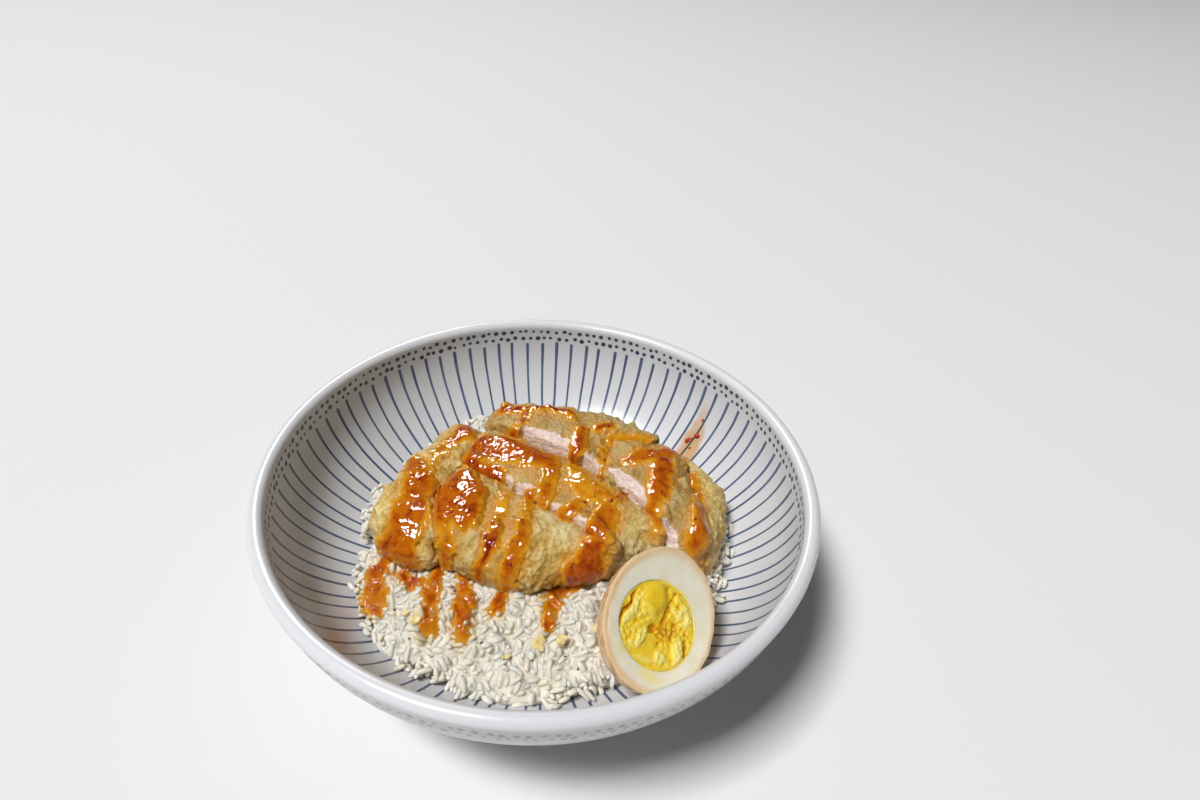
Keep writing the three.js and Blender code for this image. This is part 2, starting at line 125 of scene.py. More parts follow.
# Rice heap: its surface, and its edge with waves (how many, how high, start) and with stretches that
# reach further or less far (direction in degrees, how far, how wide in degrees)
RICE_TOP = 45
RICE_RISE = 14.5
RICE_SPREAD = 86
RICE_POWER = 2.6
RICE_EDGE = 79.6
RICE_WAVES = ((3, 1.1, 1), (7, 1.3, 0), (12, 0.8, 2))
RICE_REACHES = ((184, -4.5, 18), (150, -7, 22), (117, 5, 5), (230, 5, 7), (255, 3, 3))
RICE_RAGGED = 6
UNDER_FOOD = 7
RICE_SEED = 41

# Packed core of the heap: how far it lies below the heap's surface, inside its edge, above the wall
# and below the settled grains
RICE_DEPTH = 3.6
CORE_INSET = 3
CORE_CLEAR = 0.3
CORE_LEAST = 0.3
CORE_BELOW = 0.2
CORE_SIDES = 320
CORE_FLOOR_RINGS = 12
CORE_RINGS = 112

# Loose grains: their shape, with the least share of the usual length and width and what is drawn on top
GRAIN_SIDES = 6
GRAIN_RINGS = 3
GRAIN_BLUNT = 0.65
GRAIN_BEND = 0.5
GRAIN_LENGTHS = (0.64, 0.48)
GRAIN_WIDTHS = (0.82, 0.36)
GRAIN_THICKNESS = 0.82

# How grains come to rest, in millimetres or as shares of a grain's thickness
GRAIN_SINK = 0.4
GRAIN_FILL = 0.8
GRAIN_ROOM = 0.4
GRAIN_OVER_WALL = 3
GRAIN_OUT = 1.6
GRAIN_OUT_MORE = 1.2
GRAIN_ROOF_GAP = 0.2
GRAIN_TILT = 0.42
GRAIN_STEEPEST = 1.4
GRAIN_ROLL = 0.5
GRAIN_PICKS = 9
MOST_MISSES = 4000

# Grid of heights that the grains settle on
GRID_HALF = 92
GRID_STEP = 0.6
CEILING_CELLS = 2
CEILING_GAP = 0.3

# Cutlet: places where the crust is off and meat shows, as lines of x, y and half width on each slice
BARE_MEAT = {
    "chicken_back": (((-10, 27, 2.5), (-6, 25.5, 4), (0, 23, 4.4), (6, 20, 3.6), (9, 17.5, 2)),
                     ((15, 14.5, 2), (19, 12.3, 2.6), (22, 10, 2))),
    "chicken_right": (((27, 8, 1.5), (30, 6, 2.6), (34, 2.5, 3.2), (38, -2, 3.2), (42, -7.5, 3),
                       (44.5, -11, 2)),
                      ((50, -18, 2), (52.4, -20.5, 2.2), (54.6, -23, 1.6))),
    "chicken_middle": (((-17.7, 1.6, 1.4), (-13.6, -0.5, 2)), ((-9, -3, 1.2), (-4.7, -6, 2.2)),
                       ((3, -11, 1.2), (7, -13.5, 2)), ((14, -18.6, 2.2), (19, -22, 2.4), (22, -24.5, 1.6))),
}

# Slices: their mesh of small voxels, the crust's crags, and how far the meat at a cut lies below it
SLICES = ("chicken_left", "chicken_front", "chicken_middle", "chicken_back", "chicken_right", "chicken_end")
SLICE_VOXEL = 0.46
SLICE_ROUNDS = 20
SLICE_RELAX = 0.6
SEAM_FILL = 0.6
CRUST_SEED = 40
CRAG_MIDDLE = 0.6
CRAG_HIGH = 1.3
MEAT_SINK = 0.7
UNDERSIDE = -0.35

# Glaze on the slices. Each streak: tone (0 thin and yellow, 1 dark red), rise, lowest height, and its
# middle line as x, y and half width
STREAKS = (
    (0.58, 0.9, 44, ((-55, 8.5, 3.5), (-51, 1.5, 5.5), (-49.5, -5, 6.5), (-49, -10.5, 6.5), (-49, -16.5, 7.5),
                     (-49.5, -21.5, 8), (-50.5, -26, 7.5), (-50.5, -29.5, 7))),
    (0.85, 0.5, 41, ((-54.5, -28, 2.5), (-57.5, -27, 3))),
    (0.60, 0.8, 52, ((-38, 33, 4), (-37.5, 26, 5), (-41.5, 21.5, 4.5))),
    (0.30, 0.3, 52, ((-41, 20.5, 4), (-45, 14.5, 3.5), (-46, 6, 2))),
    (0.62, 1.9, 50, ((-32, -2.5, 7), (-31, -10.5, 10.5), (-30.5, -17, 10), (-27.5, -22, 7))),
    (0.40, 0.4, 41, ((-34, -26, 3), (-32.5, -31.5, 3.5), (-34, -36, 3.5))),
    (0.15, 0.2, 50, ((-14.5, -8.5, 3), (-14, -16, 3), (-14.5, -22, 3))),
    (0.80, 0.8, 41, ((-14.5, -21, 2.5), (-14.5, -27, 3.5), (-15.5, -31.5, 3.5), (-16.5, -35, 2.5),
                     (-18.5, -37, 2))),
    (0.50, 0.7, 41, ((-3.5, -7.5, 2), (-4.5, -16, 2.5), (-5, -24.5, 3), (-5, -32, 3.5), (-7, -36.5, 3.5),
                     (-8.5, -40.5, 3.5))),
    (0.72, 0.8, 41, ((25, -28, 4), (21, -31.5, 5.5), (16.5, -36, 4), (15, -37.5, 3.5))),
    (0.66, 1.0, 52, ((-30, 11, 4), (-27, 17.5, 6.5), (-20, 16.5, 8), (-12.5, 14.5, 8), (-5.5, 12, 6.5),
                     (-0.5, 10, 5.5))),
    (0.95, 0.6, 52, ((-30.5, 9.5, 1.8), (-24, 5.5, 2), (-17.5, 2, 2))),
    (0.97, 0.8, 52, ((-31, 16, 2.5), (-29.5, 20, 2.5), (-27, 24, 2.5))),
    (0.45, 0.7, 52, ((1, 13, 4.5), (3, 2.5, 4.5), (3, -6, 4), (2, -11, 3))),
    (0.22, 0.35, 52, ((11.5, 9, 4), (14.5, 2, 5.5), (19.5, -4.5, 6), (26, -8, 5.5))),
    (0.98, 0.9, 52, ((28.5, -9, 2.2), (31, -6.5, 2.8), (32.5, -4, 2.2))),
    (0.55, 0.6, 52, ((16, -11.5, 3.5), (12.5, -16.5, 3.5), (9.5, -16, 2.5))),
    (0.52, 0.8, 50, ((27, -9.5, 3.5), (26.5, -14.5, 5.5), (24.5, -23.5, 5.5), (24, -27.5, 3.5))),
    (0.96, 0.9, 54, ((-24, 46, 2.4), (-19.5, 45, 2.8))),
    (0.88, 0.8, 56, ((-18, 43, 2.4), (-9, 43.5, 2.8), (-1, 43, 2.6), (5, 42, 2.6), (10, 38, 2))),
    (0.60, 0.6, 56, ((-11, 41, 3), (-12.5, 31, 3), (-15, 29.5, 2.5))),
    (0.70, 0.7, 56, ((14, 29.5, 3.5), (13.5, 21.5, 4), (12.5, 15.5, 3))),
    (0.92, 0.5, 56, ((21, 31.5, 2.5), (26, 35, 2.5))),
    (0.60, 0.4, 56, ((24, 21, 1.5), (24.5, 13.5, 2), (24, 7, 2))),
    (0.30, 0.2, 56, ((27.5, 26.5, 3), (34.5, 28.5, 2.5), (42, 30, 2))),
    (0.58, 0.6, 54, ((34.5, 13, 3.5), (41, 16.5, 4.5), (49, 19, 5.5), (58.5, 30.5, 3.5))),
    (0.62, 0.7, 50, ((49.5, 15, 5), (48.5, 3, 5.5), (46, -6.5, 4), (46, -11.5, 3), (46.5, -16.5, 2.5))),
    (0.55, 0.6, 46, ((62, 17, 2.5), (65, 5, 3), (64, -11, 3.5), (62.5, -19, 4), (61, -22.5, 4))),
)

# How wide a streak's rounded edge is, how the wide ones rise on towards their middle, how fast a streak
# ends below its lowest height and how sharply the tones of two streaks part
STREAK_EDGE = 1.7
DOME_EDGE = 9
DOME_RISE = 0.6
STREAK_FADE = 0.6
STREAK_BLEND = 1.6

# Crust soaked with thin glaze, as lines of x, y and half width
SOAKED = (
    ((-53, 6, 6), (-50, -10, 10), (-51, -28, 9)), ((-38, 31, 5), (-42, 20, 7), (-46, 6, 5)),
    ((-31, -5, 11), (-29, -20, 12), (-34, -32, 5)), ((-15, -12, 6), (-15, -30, 6)),
    ((-5, -12, 6), (-7, -36, 6)), ((-29, 14, 9), (-10, 12, 10), (5, 4, 9), (18, -3, 8), (28, -10, 7)),
    ((24, -26, 8), (16, -36, 6)), ((14, 30, 6), (13, 16, 6)), ((-14, 40, 5), (8, 38, 5)),
    ((38, 15, 7), (50, 18, 8), (48, 2, 7), (46, -14, 5)), ((64, 10, 5), (63, -20, 6)),
)

# How brown each slice's crust is: partly real browning, partly painted shade, darkest on the back and right
# slices
BROWNING_AND_SHADE = {"chicken_left": 0.0, "chicken_front": 0.5, "chicken_middle": 0.7, "chicken_back": 0.95,
           "chicken_right": 1.0, "chicken_end": 0.35}

# Crisp lumps that stand out of the crust: x, y, z, size and how far they stand out
CRISP_LUMPS = (
    (-22, 49, 62, 3.4, 3.2), (-26.5, 38, 61, 4, 2.6), (-16, 45, 66, 3, 1.6), (-2, 45, 66, 3.5, 1.8),
    (8, 44, 65, 3, 1.5), (52, 29, 65, 3, 1.8), (57, 31, 62, 3, 2), (60, 27, 62, 3, 1.8),
    (40, 44, 60, 4, 1.4),
)

# Glaze on the rice: tone, and the middle line as x, y and half width
DRIPS = (
    (0.66, ((-58.5, -26.5, 4), (-61, -31.5, 4.8))),
    (0.42, ((-61.5, -35, 5.6), (-60.5, -39.5, 6), (-59, -45, 5.6))),
    (0.7, ((-51.5, -33, 2.6), (-48.5, -36.5, 3.2), (-44.5, -37.5, 3))),
    (0.5, ((-36.5, -32, 2.6), (-37, -36, 2.8), (-37.5, -41.5, 3.3), (-37, -48, 4.0), (-36.5, -55, 4.2))),
    (0.5, ((-27, -35, 2.6), (-25.5, -39, 3), (-24.5, -44.5, 4.2), (-24, -51.5, 4.6), (-22.5, -59.5, 3.4))),
    (0.6, ((-8, -38, 2.4), (-9, -41, 2.6), (-11, -44, 3.6), (-12, -48.5, 3.2))),
    (0.66, ((6, -42.5, 2.6), (9.5, -39.5, 3), (13.5, -37, 3), (18, -34, 2.6))),
    (0.42, ((8.5, -43, 3.8), (7.5, -48.5, 3.8), (7.5, -53.5, 2.6))),
)

# The film of that glaze: grid step, rounds of smoothing, rise over the grains, sink and depth
FILM_STEP = 0.4
FILM_ROUNDS = 2
FILM_RISE = 1.5
FILM_SINK = 0.4
FILM_DEPTH = 1.6
FILM_EDGE = -0.4
FILM_MARGIN = 8

# Small things: x, y and, but for the pepper, size
BATTER_CRUMBS = ((4.6, -61.3, 4.6), (13.1, -58.6, 4.0), (-40, -53.9, 3.6), (-44.6, -51.6, 2.4), (-6, -67, 2),
                 (26, -52, 2.2))
PEPPER_PLACES = ((-50.9, -46.5), (-6.1, -67.9), (3.8, -66.5), (15.4, -63.6), (20.5, -68.4), (-28.6, -42.2),
                 (-49.7, -45.4), (-42, -60), (-15, -62), (-66, 12), (-60, 38))
SMEAR_BITS = ((65.5, 61.7, 3.2), (67.3, 61.4, 2.0), (69.5, 61.8, 3.4), (71.8, 66.3, 1.8), (66.4, 58, 1.6))
CRUMB_CORNERS = 0.6
CRUMB_SHAPE = (1, 0.7, 0.36)
CRUMB_SEED = 63
FLAKE_SEED = 74

# Egg half: the middle of its cut face, the way the face looks, and its long axis
EGG_LENGTH = 52.5
EGG_WIDTH = 42.7
EGG_BLUNT = 0.03
EGG_MIDDLE = np.array([47.8, -60.3, 61.4])
EGG_FACE = np.array([0.41, -0.385, 0.827])
EGG_LONG = np.array([0.33, 0.91, 0.26])
EGG_SIDES = 128

# Its cut face: width of the rounded edge, how it swells, dips to the yolk and is uneven, its wavy rim,
# and the rings of each part
EGG_EDGE = 1.1
EGG_SWELL = 0.45
EGG_DIP = 0.25
EGG_UNEVEN = 0.12
EGG_SCALLOP = 0.35
EGG_BACK_RINGS = 41
EGG_EDGE_RINGS = 9
EGG_FACE_RINGS = 26
EGG_HOLLOW_RINGS = 12

# Yolk: its outline, its place on the face, its depth and the gap round it
YOLK_LENGTH = 30.4
YOLK_WIDTH = 29.3
YOLK_SHIFT = (-0.6, -2.9)
YOLK_DEPTH = 14
YOLK_GAP = 0.1
YOLK_SIDES = 240
YOLK_BACK_RINGS = 15
YOLK_RINGS = 56

# Forms on the cut yolk: across, along, half sizes across and along, turn in degrees, rise, and how
# pale (above 0) or deep (below 0) its colour is. The deep colour of the sunken forms is partly painted shade.
YOLK_FORMS = (
    (-4.6, 4.6, 5.2, 5.6, -25, 1.5, -0.1),
    (-6.0, -1.5, 4.5, 3.0, 10, 0.8, 0.2),
    (-11.0, -3.6, 1.4, 7.5, -6, 0.5, 0.9),
    (-13.2, -4.5, 0.9, 9.0, -6, -1.4, -1.0),
    (-1.4, -5.4, 2.2, 1.8, 30, -1.1, -0.7),
    (1.8, 4.0, 0.9, 7.5, -8, -0.7, -0.5),
    (7.8, 4.8, 3.6, 5.0, -20, 0.5, 0.7),
    (3.8, -3.6, 4.2, 5.2, -30, -0.3, -0.55),
    (9.8, -7.8, 2.4, 4.8, 24, 1.0, 0.9),
    (4.8, -12.6, 2.6, 2.2, 10, 0.7, 0.8),
    (13.4, -7.6, 0.8, 6.5, 22, -1.3, -0.9),
    (-4.2, -9.6, 1.5, 3.4, -12, 0.9, 0.9),
    (-6.6, -13.0, 2.4, 1.5, 10, 0.3, 0.4),
    (-1.0, -15.6, 4.5, 1.3, 12, 0.3, 0.5),
)


def tint(red, green, blue):
    """A colour as it shows, 0 to 255, as the linear colour that shaders use."""
    shares = np.array([red, green, blue]) / 255
    linear = np.where(shares > 0.04045, ((shares + 0.055) / 1.055) ** 2.4, shares / 12.92)
    return tuple(float(value) for value in linear)


def with_alpha(colour):
    return (*tuple(colour)[:3], 1.0)


def length(name, description, millimetres):
    """A length that the user can change, shown in the scene's units."""
    return bpy.props.FloatProperty(name=name, description=description, default=millimetres * MM,
                                   min=0, precision=5, unit="LENGTH", subtype="DISTANCE")


def colour(name, description, *shown):
    """A colour that the user can change, given as it shows, 0 to 255."""
    return bpy.props.FloatVectorProperty(name=name, description=description, default=tint(*shown), size=3,
                                         min=0, max=1, subtype="COLOR")


def factor(name, description, value):
    return bpy.props.FloatProperty(name=name, description=description, default=value, min=0, max=1,
                                   subtype="FACTOR")


def amount(name, description, value):
    return bpy.props.IntProperty(name=name, description=description, default=value)


def power(name, description, watts):
    return bpy.props.FloatProperty(name=name, description=description, default=watts, min=0, unit="POWER")


class DonburiBowl(bpy.types.PropertyGroup):
    """The glazed bowl and its painted pattern."""
    stripe_count: amount("Stripes", "Stripes round the inside", 86)
    stripe_width: length("Stripe width", "Width of a painted stripe", 1.15)
    dot_count: amount("Dots", "Dots in each row", 172)
    dot_width: length("Dot width", "Width of a painted dot", 2.05)
    glaze: colour("Glaze", "Colour of the bowl's glaze", 217, 218, 222)
    paint: colour("Paint", "Colour of the stripes", 44, 68, 106)
    dot_paint: colour("Dot paint", "Colour of the dots", 32, 50, 82)
    smear: colour("Smear", "Colour that the sauce gives the wall", 240, 186, 112)


class DonburiRice(bpy.types.PropertyGroup):
    """The rice heap."""
    grain_count: amount("Grains", "Most grains in the heap", 4600)
    grain_length: length("Grain length", "Length of a cooked grain", 6.5)
    grain_width: length("Grain width", "Width of a cooked grain", 2.45)
    grain: colour("Grain", "Colour of the rice", 235, 229, 214)
    warm: colour("Warm grain", "Colour of the warmer grains", 228, 214, 188)
    stained: colour("Stained grain", "Colour of rice that took up glaze", 228, 196, 148)


class DonburiCutlet(bpy.types.PropertyGroup):
    """The sliced cutlet with its crust, meat and glaze."""
    roughness: factor("Crag height", "How rough the crust is", 0.52)
    crust_light: colour("Light crust", "Palest crust", 248, 232, 162)
    crust: colour("Crust", "Most of the crust", 209, 172, 80)
    # Dark crust: darker patches, and also painted shade in the crust's hollows
    crust_dark_and_shade: colour("Dark crust", "Crust in the hollows", 148, 96, 26)
    meat: colour("Meat", "Cut chicken meat", 255, 240, 230)
    glaze_thin: colour("Thin glaze", "Glaze where it is thin", 220, 156, 34)
    glaze: colour("Glaze", "Glaze where it is thick", 192, 98, 6)
    glaze_dark: colour("Dark glaze", "Glaze where it is darkest", 104, 26, 8)


class DonburiEgg(bpy.types.PropertyGroup):
    """The seasoned egg half."""
    white: colour("White", "Middle of the egg white", 240, 232, 208)
    rim: colour("Rim", "Egg white near its rim", 232, 198, 150)
    skin: colour("Skin", "Seasoned outside of the egg", 216, 170, 118)
    yolk: colour("Yolk", "Most of the yolk", 248, 208, 40)
    yolk_pale: colour("Pale yolk", "Crumbly yolk", 254, 232, 128)
    # Deep yolk: deeper yolk colour, and also painted shade in the yolk's hollows
    yolk_deep_and_shade: colour("Deep yolk", "Yolk in the hollows", 208, 146, 4)


class DonburiStage(bpy.types.PropertyGroup):
    """The floor and the light."""
    floor: colour("Floor", "Colour of the floor", 240, 240, 240)
    window_power: power("Window", "Window at the back left that gives the glints", 52)
    high_power: power("High light", "Light from high on the left", 580)
    sky: factor("Sky", "Even light from all round", 0.06)


def settings(name):
    return getattr(bpy.context.scene, name)


# Shapes


def cell_values(cells, seed):
    """A repeatable value from -1 to 1 for each whole-numbered cell."""
    x, y, z = cells.astype(np.int64).T
    tone_and_relief_shade = (x * 73856093) ^ (y * 19349663) ^ (z * 83492791) ^ (seed * 97531371)
    tone_and_relief_shade = (tone_and_relief_shade ^ (tone_and_relief_shade >> 13)) * 1274126177
    tone_and_relief_shade = (tone_and_relief_shade ^ (tone_and_relief_shade >> 15)) & 0x7FFFFFFF
    return tone_and_relief_shade / 0x3FFFFFFF - 1


def bumps(points, size, seed):
    """Smooth unevenness from -1 to 1, with bumps about one size across."""
    scaled = np.asarray(points, float) @ SLANT / size
    base = np.floor(scaled)
    share = scaled - base
    share = share * share * (3 - 2 * share)
    total = np.zeros(len(scaled))
    for corner in itertools.product((0, 1), repeat=3):
        weight = np.prod(np.where(corner, share, 1 - share), axis=1)
        total += weight * cell_values(base + corner, seed)
    return total


def lumps(points, size, seed):
    """Rounded lumps about one size apart: 1 on top of a lump, 0 in the creases between them."""
    scaled = np.asarray(points, float) @ SLANT / size
    base = np.floor(scaled)
    nearest = np.full(len(scaled), 9.0)
    for corner in itertools.product((-1, 0, 1), repeat=3):
        cells = base + corner
        middle = cells + 0.5 + 0.42 * np.stack([cell_values(cells, seed + axis) for axis in range(3)], axis=1)
        nearest = np.minimum(nearest, ((scaled - middle) ** 2).sum(axis=1))
    return np.clip(1 - nearest / 0.72, 0, 1)


def flat_places(x, y):
    """Points at height 0 from maps of x and y."""
    return np.stack([np.ravel(x), np.ravel(y), np.zeros(np.size(x))], axis=1)


def flat_bumps(x, y, size, seed):
    return bumps(flat_places(x, y), size, seed).reshape(np.shape(x))


def ease(value, low, high):
    """0 below low, 1 above high, and smooth between."""
    share = np.clip((value - low) / (high - low), 0, 1)
    return share * share * (3 - 2 * share)


def turns_round(count):
    return np.linspace(0, math.tau, count, endpoint=False)


def ring_body(first, rings, last):
    """Points and faces of a closed body from stacked rings, shut at both ends by a middle point."""
    rings = np.asarray(rings)
    count, sides = rings.shape[:2]
    points = np.concatenate([[first], rings.reshape(-1, 3), [last]])
    side = np.arange(sides)
    after = (side + 1) % sides
    start = 1 + sides * np.arange(count - 1)[:, None]
    quads = np.stack([start + side, start + after, start + sides + after, start + sides + side], axis=2)
    tip = np.stack([np.zeros(sides, int), 1 + after, 1 + side], axis=1)
    top = 1 + sides * (count - 1)
    tail = np.stack([np.full(sides, len(points) - 1), top + side, top + after], axis=1)
    return points, [tip, quads.reshape(-1, 4), tail]


def round_body(sides, rings, blunt=1.0):
    """A body of radius 1 round Z. Blunt below 1 makes it fuller towards its two ends."""
    turns = turns_round(sides)
    layers = []
    for lean in np.linspace(0, math.pi, rings + 2)[1:-1]:
        radius = math.sin(lean) ** blunt
        level = np.full(sides, -math.cos(lean))
        layers.append(np.stack([radius * np.cos(turns), radius * np.sin(turns), level], axis=1))
    return ring_body((0, 0, -1), layers, (0, 0, 1))


def signed_volume(points, groups):
    total = 0.0
    for faces in groups:
        for corner in range(2, faces.shape[1]):
            a, b, c = (points[faces[:, index]] for index in (0, corner - 1, corner))
            total += float(np.einsum("ij,ij->", a, np.cross(b, c)))
    return total / 6


def vertex_normals(points, groups):
    normals = np.zeros_like(points)
    for faces in groups:
        edge_a = points[faces[:, 2]] - points[faces[:, 0]]
        edge_b = points[faces[:, -1]] - points[faces[:, 1]]
        face_normals = np.cross(edge_a, edge_b)
        for corner in range(faces.shape[1]):
            for axis in range(3):
                normals[:, axis] += np.bincount(faces[:, corner], face_normals[:, axis], len(points))
    size = np.linalg.norm(normals, axis=1, keepdims=True)
    return normals / np.maximum(size, 1e-12)


def relax(points, edges, rounds, strength):
    """Each point moves towards the middle of its neighbours, round after round."""
    first, second = edges.T
    count = np.bincount(edges.ravel(), minlength=len(points))[:, None]
    for _ in range(rounds):
        total = np.stack([
            np.bincount(first, points[second, axis], len(points))
            + np.bincount(second, points[first, axis], len(points)) for axis in range(3)], axis=1)
        points = points + strength * (total / np.maximum(count, 1) - points)
    return points


def outward(points, groups):
    """The faces turned so that they look out."""
    if signed_volume(points, groups) < 0:
        return [faces[:, ::-1] for faces in groups]
    return groups


def make_mesh(name, points, groups, values=None):
    """A smooth mesh from points in millimetres, with named values on its points."""
    groups = outward(points, groups)
    mesh = bpy.data.meshes.new(name)
    mesh.vertices.add(len(points))
    mesh.vertices.foreach_set("co", np.ascontiguousarray(points * MM, np.float32).ravel())
    sizes = np.concatenate([np.full(len(faces), faces.shape[1]) for faces in groups])
    corners = np.concatenate([faces.ravel() for faces in groups])
    mesh.loops.add(len(corners))
    mesh.loops.foreach_set("vertex_index", corners.astype(np.int32))
    mesh.polygons.add(len(sizes))
    mesh.polygons.foreach_set("loop_start", (np.cumsum(sizes) - sizes).astype(np.int32))
    mesh.polygons.foreach_set("use_smooth", np.ones(len(sizes), bool))
    mesh.update(calc_edges=True)
    for key, numbers in (values or {}).items():
        layer = mesh.attributes.new(key, "FLOAT", "POINT")
        layer.data.foreach_set("value", np.ascontiguousarray(numbers, np.float32))
    if mesh.validate():
        raise RuntimeError(f"{name} has faces that Blender can't use")
    return mesh


def place_piece(name, mesh, look, nodes=()):
    """The mesh as a piece of the object, in place of the nodes that it stands for."""
    mesh.materials.append(look)
    piece = bpy.data.objects.new(name, mesh)
    bpy.context.scene.collection.objects.link(piece)
    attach(piece, BODY)
    if nodes:
        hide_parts(*nodes)


def voxel_mesh(source, voxel):
    """Points, quads and edges of a mesh made again from small even voxels, in millimetres."""
    copied = source.copy()
    working = bpy.data.objects.new("working_copy", copied)
    bpy.context.scene.collection.objects.link(working)
    modifier = working.modifiers.new("voxels", "REMESH")
    modifier.mode = "VOXEL"
    modifier.voxel_size = voxel * MM
    graph = bpy.context.evaluated_depsgraph_get()
    made = bpy.data.meshes.new_from_object(working.evaluated_get(graph), depsgraph=graph)
    bpy.data.objects.remove(working)
    bpy.data.meshes.remove(copied)
    points = np.empty(len(made.vertices) * 3, np.float32)
    made.vertices.foreach_get("co", points)
    corners = np.empty(len(made.loops), np.int32)
    made.loops.foreach_get("vertex_index", corners)
    edges = np.empty(len(made.edges) * 2, np.int32)
    made.edges.foreach_get("vertices", edges)
    if len(corners) != 4 * len(made.polygons):
        raise RuntimeError("the voxel mesh isn't all quads")
    bpy.data.meshes.remove(made)
    return points.reshape(-1, 3) / MM, corners.reshape(-1, 4), edges.reshape(-1, 2)


def line_distance(places, start, end):
    """Distance in plan from places to a straight stretch, and the share along it."""
    run = np.subtract(end[:2], start[:2])
    away = places - np.asarray(start[:2])
    share = np.clip(away @ run / (run @ run), 0, 1)
    return np.linalg.norm(away - share[:, None] * run, axis=1), share


def streak_cover(places, line):
    """How deep inside a streak each place lies, in millimetres, below 0 outside."""
    cover = np.full(len(places), -np.inf)
    for start, end in zip(line, line[1:]):
        away, share = line_distance(places, start, end)
        cover = np.maximum(cover, start[2] + (end[2] - start[2]) * share - away)
    return cover


# Looks


def math_call(operation, other_first=False):
    """A method that adds one Math node for its value and the others."""
    def call(value, *others):
        numbers = (*others, value) if other_first else (value, *others)
        return value.look.node("ShaderNodeMath", {"operation": operation}, dict(enumerate(numbers)))
    return call


class Value:
    """A number that runs through a material's nodes. Sums with it add nodes."""
    __add__ = __radd__ = math_call("ADD")
    __sub__ = math_call("SUBTRACT")
    __rsub__ = math_call("SUBTRACT", True)
    __mul__ = __rmul__ = math_call("MULTIPLY")
    __mod__ = math_call("MODULO")
    root = math_call("SQRT")
    nearest = math_call("ROUND")
    most = math_call("MAXIMUM")
    arctan2 = math_call("ARCTAN2")

    def __init__(self, look, socket):
        self.look = look
        self.socket = socket

    def output(self, key):
        """Another output of the same node."""
        return Value(self.look, self.socket.node.outputs[key])


class Look:
    """A material and the calls that add its nodes."""

    def __init__(self, name):
        self.material = bpy.data.materials.new(name)
        self.material.use_nodes = True
        self.tree = self.material.node_tree
        self.tree.nodes.clear()

    def node(self, kind, options=None, inputs=None, output=0):
        """Any node: its options first, then the values or links of its sockets."""
        made = self.tree.nodes.new(kind)
        for key, value in (options or {}).items():
            if key == "stops":
                self.set_stops(made.color_ramp.elements, value)
            else:
                setattr(made, key, value)
        for key, value in (inputs or {}).items():
            if isinstance(value, Value):
                self.tree.links.new(value.socket, made.inputs[key])
            else:
                made.inputs[key].default_value = value
        return Value(self, made.outputs[output] if made.outputs else None)

    @staticmethod
    def set_stops(elements, stops):
        while len(elements) < len(stops):
            elements.new(1.0)
        for element, (place, value) in zip(elements, stops):
            element.position = place
            element.color = with_alpha(value)

    def place(self):
        """Place on the object, in metres."""
        return self.node("ShaderNodeTexCoord", output=3)

    def parts(self, vector):
        """The three numbers of a vector, in millimetres."""
        split = self.node("ShaderNodeSeparateXYZ", None, {0: vector})
        return [split.output(axis) * (1 / MM) for axis in "XYZ"]

    def stored(self, name):
        """A value that the mesh keeps on its points."""
        return self.node("ShaderNodeAttribute", {"attribute_name": name}, output=2)

    def noise(self, vector, size, detail=2.0, rough=0.5):
        """Noise from 0 to 1 with patches about one size across, in millimetres."""
        return self.node("ShaderNodeTexNoise", None, {
            "Vector": vector, "Scale": 1 / (size * MM), "Detail": detail, "Roughness": rough})

    def chance(self, number):
        """A random value from 0 to 1 for a number."""
        return self.node("ShaderNodeTexWhiteNoise", {"noise_dimensions": "1D"}, {"W": number})

    def spots(self, vector, size, radius, share):
        """1 on small spots at a share of many scattered points. The radius is in sizes."""
        near = self.node("ShaderNodeTexVoronoi", None, {"Vector": vector, "Scale": 1 / (size * MM)})
        chosen = self.node("ShaderNodeSeparateColor", None, {0: near.output("Color")})
        spot = self.step(near, radius * 1.3, radius * 0.7)
        return spot * self.step(chosen, 1 - share - 0.03, 1 - share + 0.03)

    def vector(self, operation, first, second, output=0):
        return self.node("ShaderNodeVectorMath", {"operation": operation}, {0: first, 1: second}, output)

    def step(self, value, low, high):
        """0 at low, 1 at high, and smooth between."""
        return self.node("ShaderNodeMapRange", {"interpolation_type": "SMOOTHSTEP"}, {
            "Value": value, "From Min": low, "From Max": high})

    def blend(self, share, first, second, kind="MIX"):
        """One colour turned into another by a share from 0 to 1."""
        first, second = (item if isinstance(item, Value) else with_alpha(item) for item in (first, second))
        return self.node("ShaderNodeMix", {"data_type": "RGBA", "blend_type": kind},
                         {0: share, 6: first, 7: second}, output=2)

    def ramp(self, value, stops):
        return self.node("ShaderNodeValToRGB", {"stops": stops}, {0: value})

    def relief(self, height, depth, below=None):
        """A normal for relief of that depth in millimetres, over the relief below it."""
        inputs = {"Height": height, "Distance": depth * MM}
        if below is not None:
            inputs["Normal"] = below
        return self.node("ShaderNodeBump", None, inputs)

    def surface(self, **inputs):
        """A shader whose sockets are named with _ for each space."""
        named = {key.replace("_", " ").title(): value for key, value in inputs.items()}
        if "Ior" in named:
            named["IOR"] = named.pop("Ior")
        return self.node("ShaderNodeBsdfPrincipled", None, named)

    def either(self, share, first, second):
        return self.node("ShaderNodeMixShader", None, {0: share, 1: first, 2: second})

    def done(self, shader):
        self.node("ShaderNodeOutputMaterial", None, {"Surface": shader})
        return self.material


def soft(weight, radius, scale):
    """Light that goes in: how much, how far for red, green and blue, and the scale in millimetres."""
    return {"subsurface_weight": weight, "subsurface_radius": radius, "subsurface_scale": scale * MM}


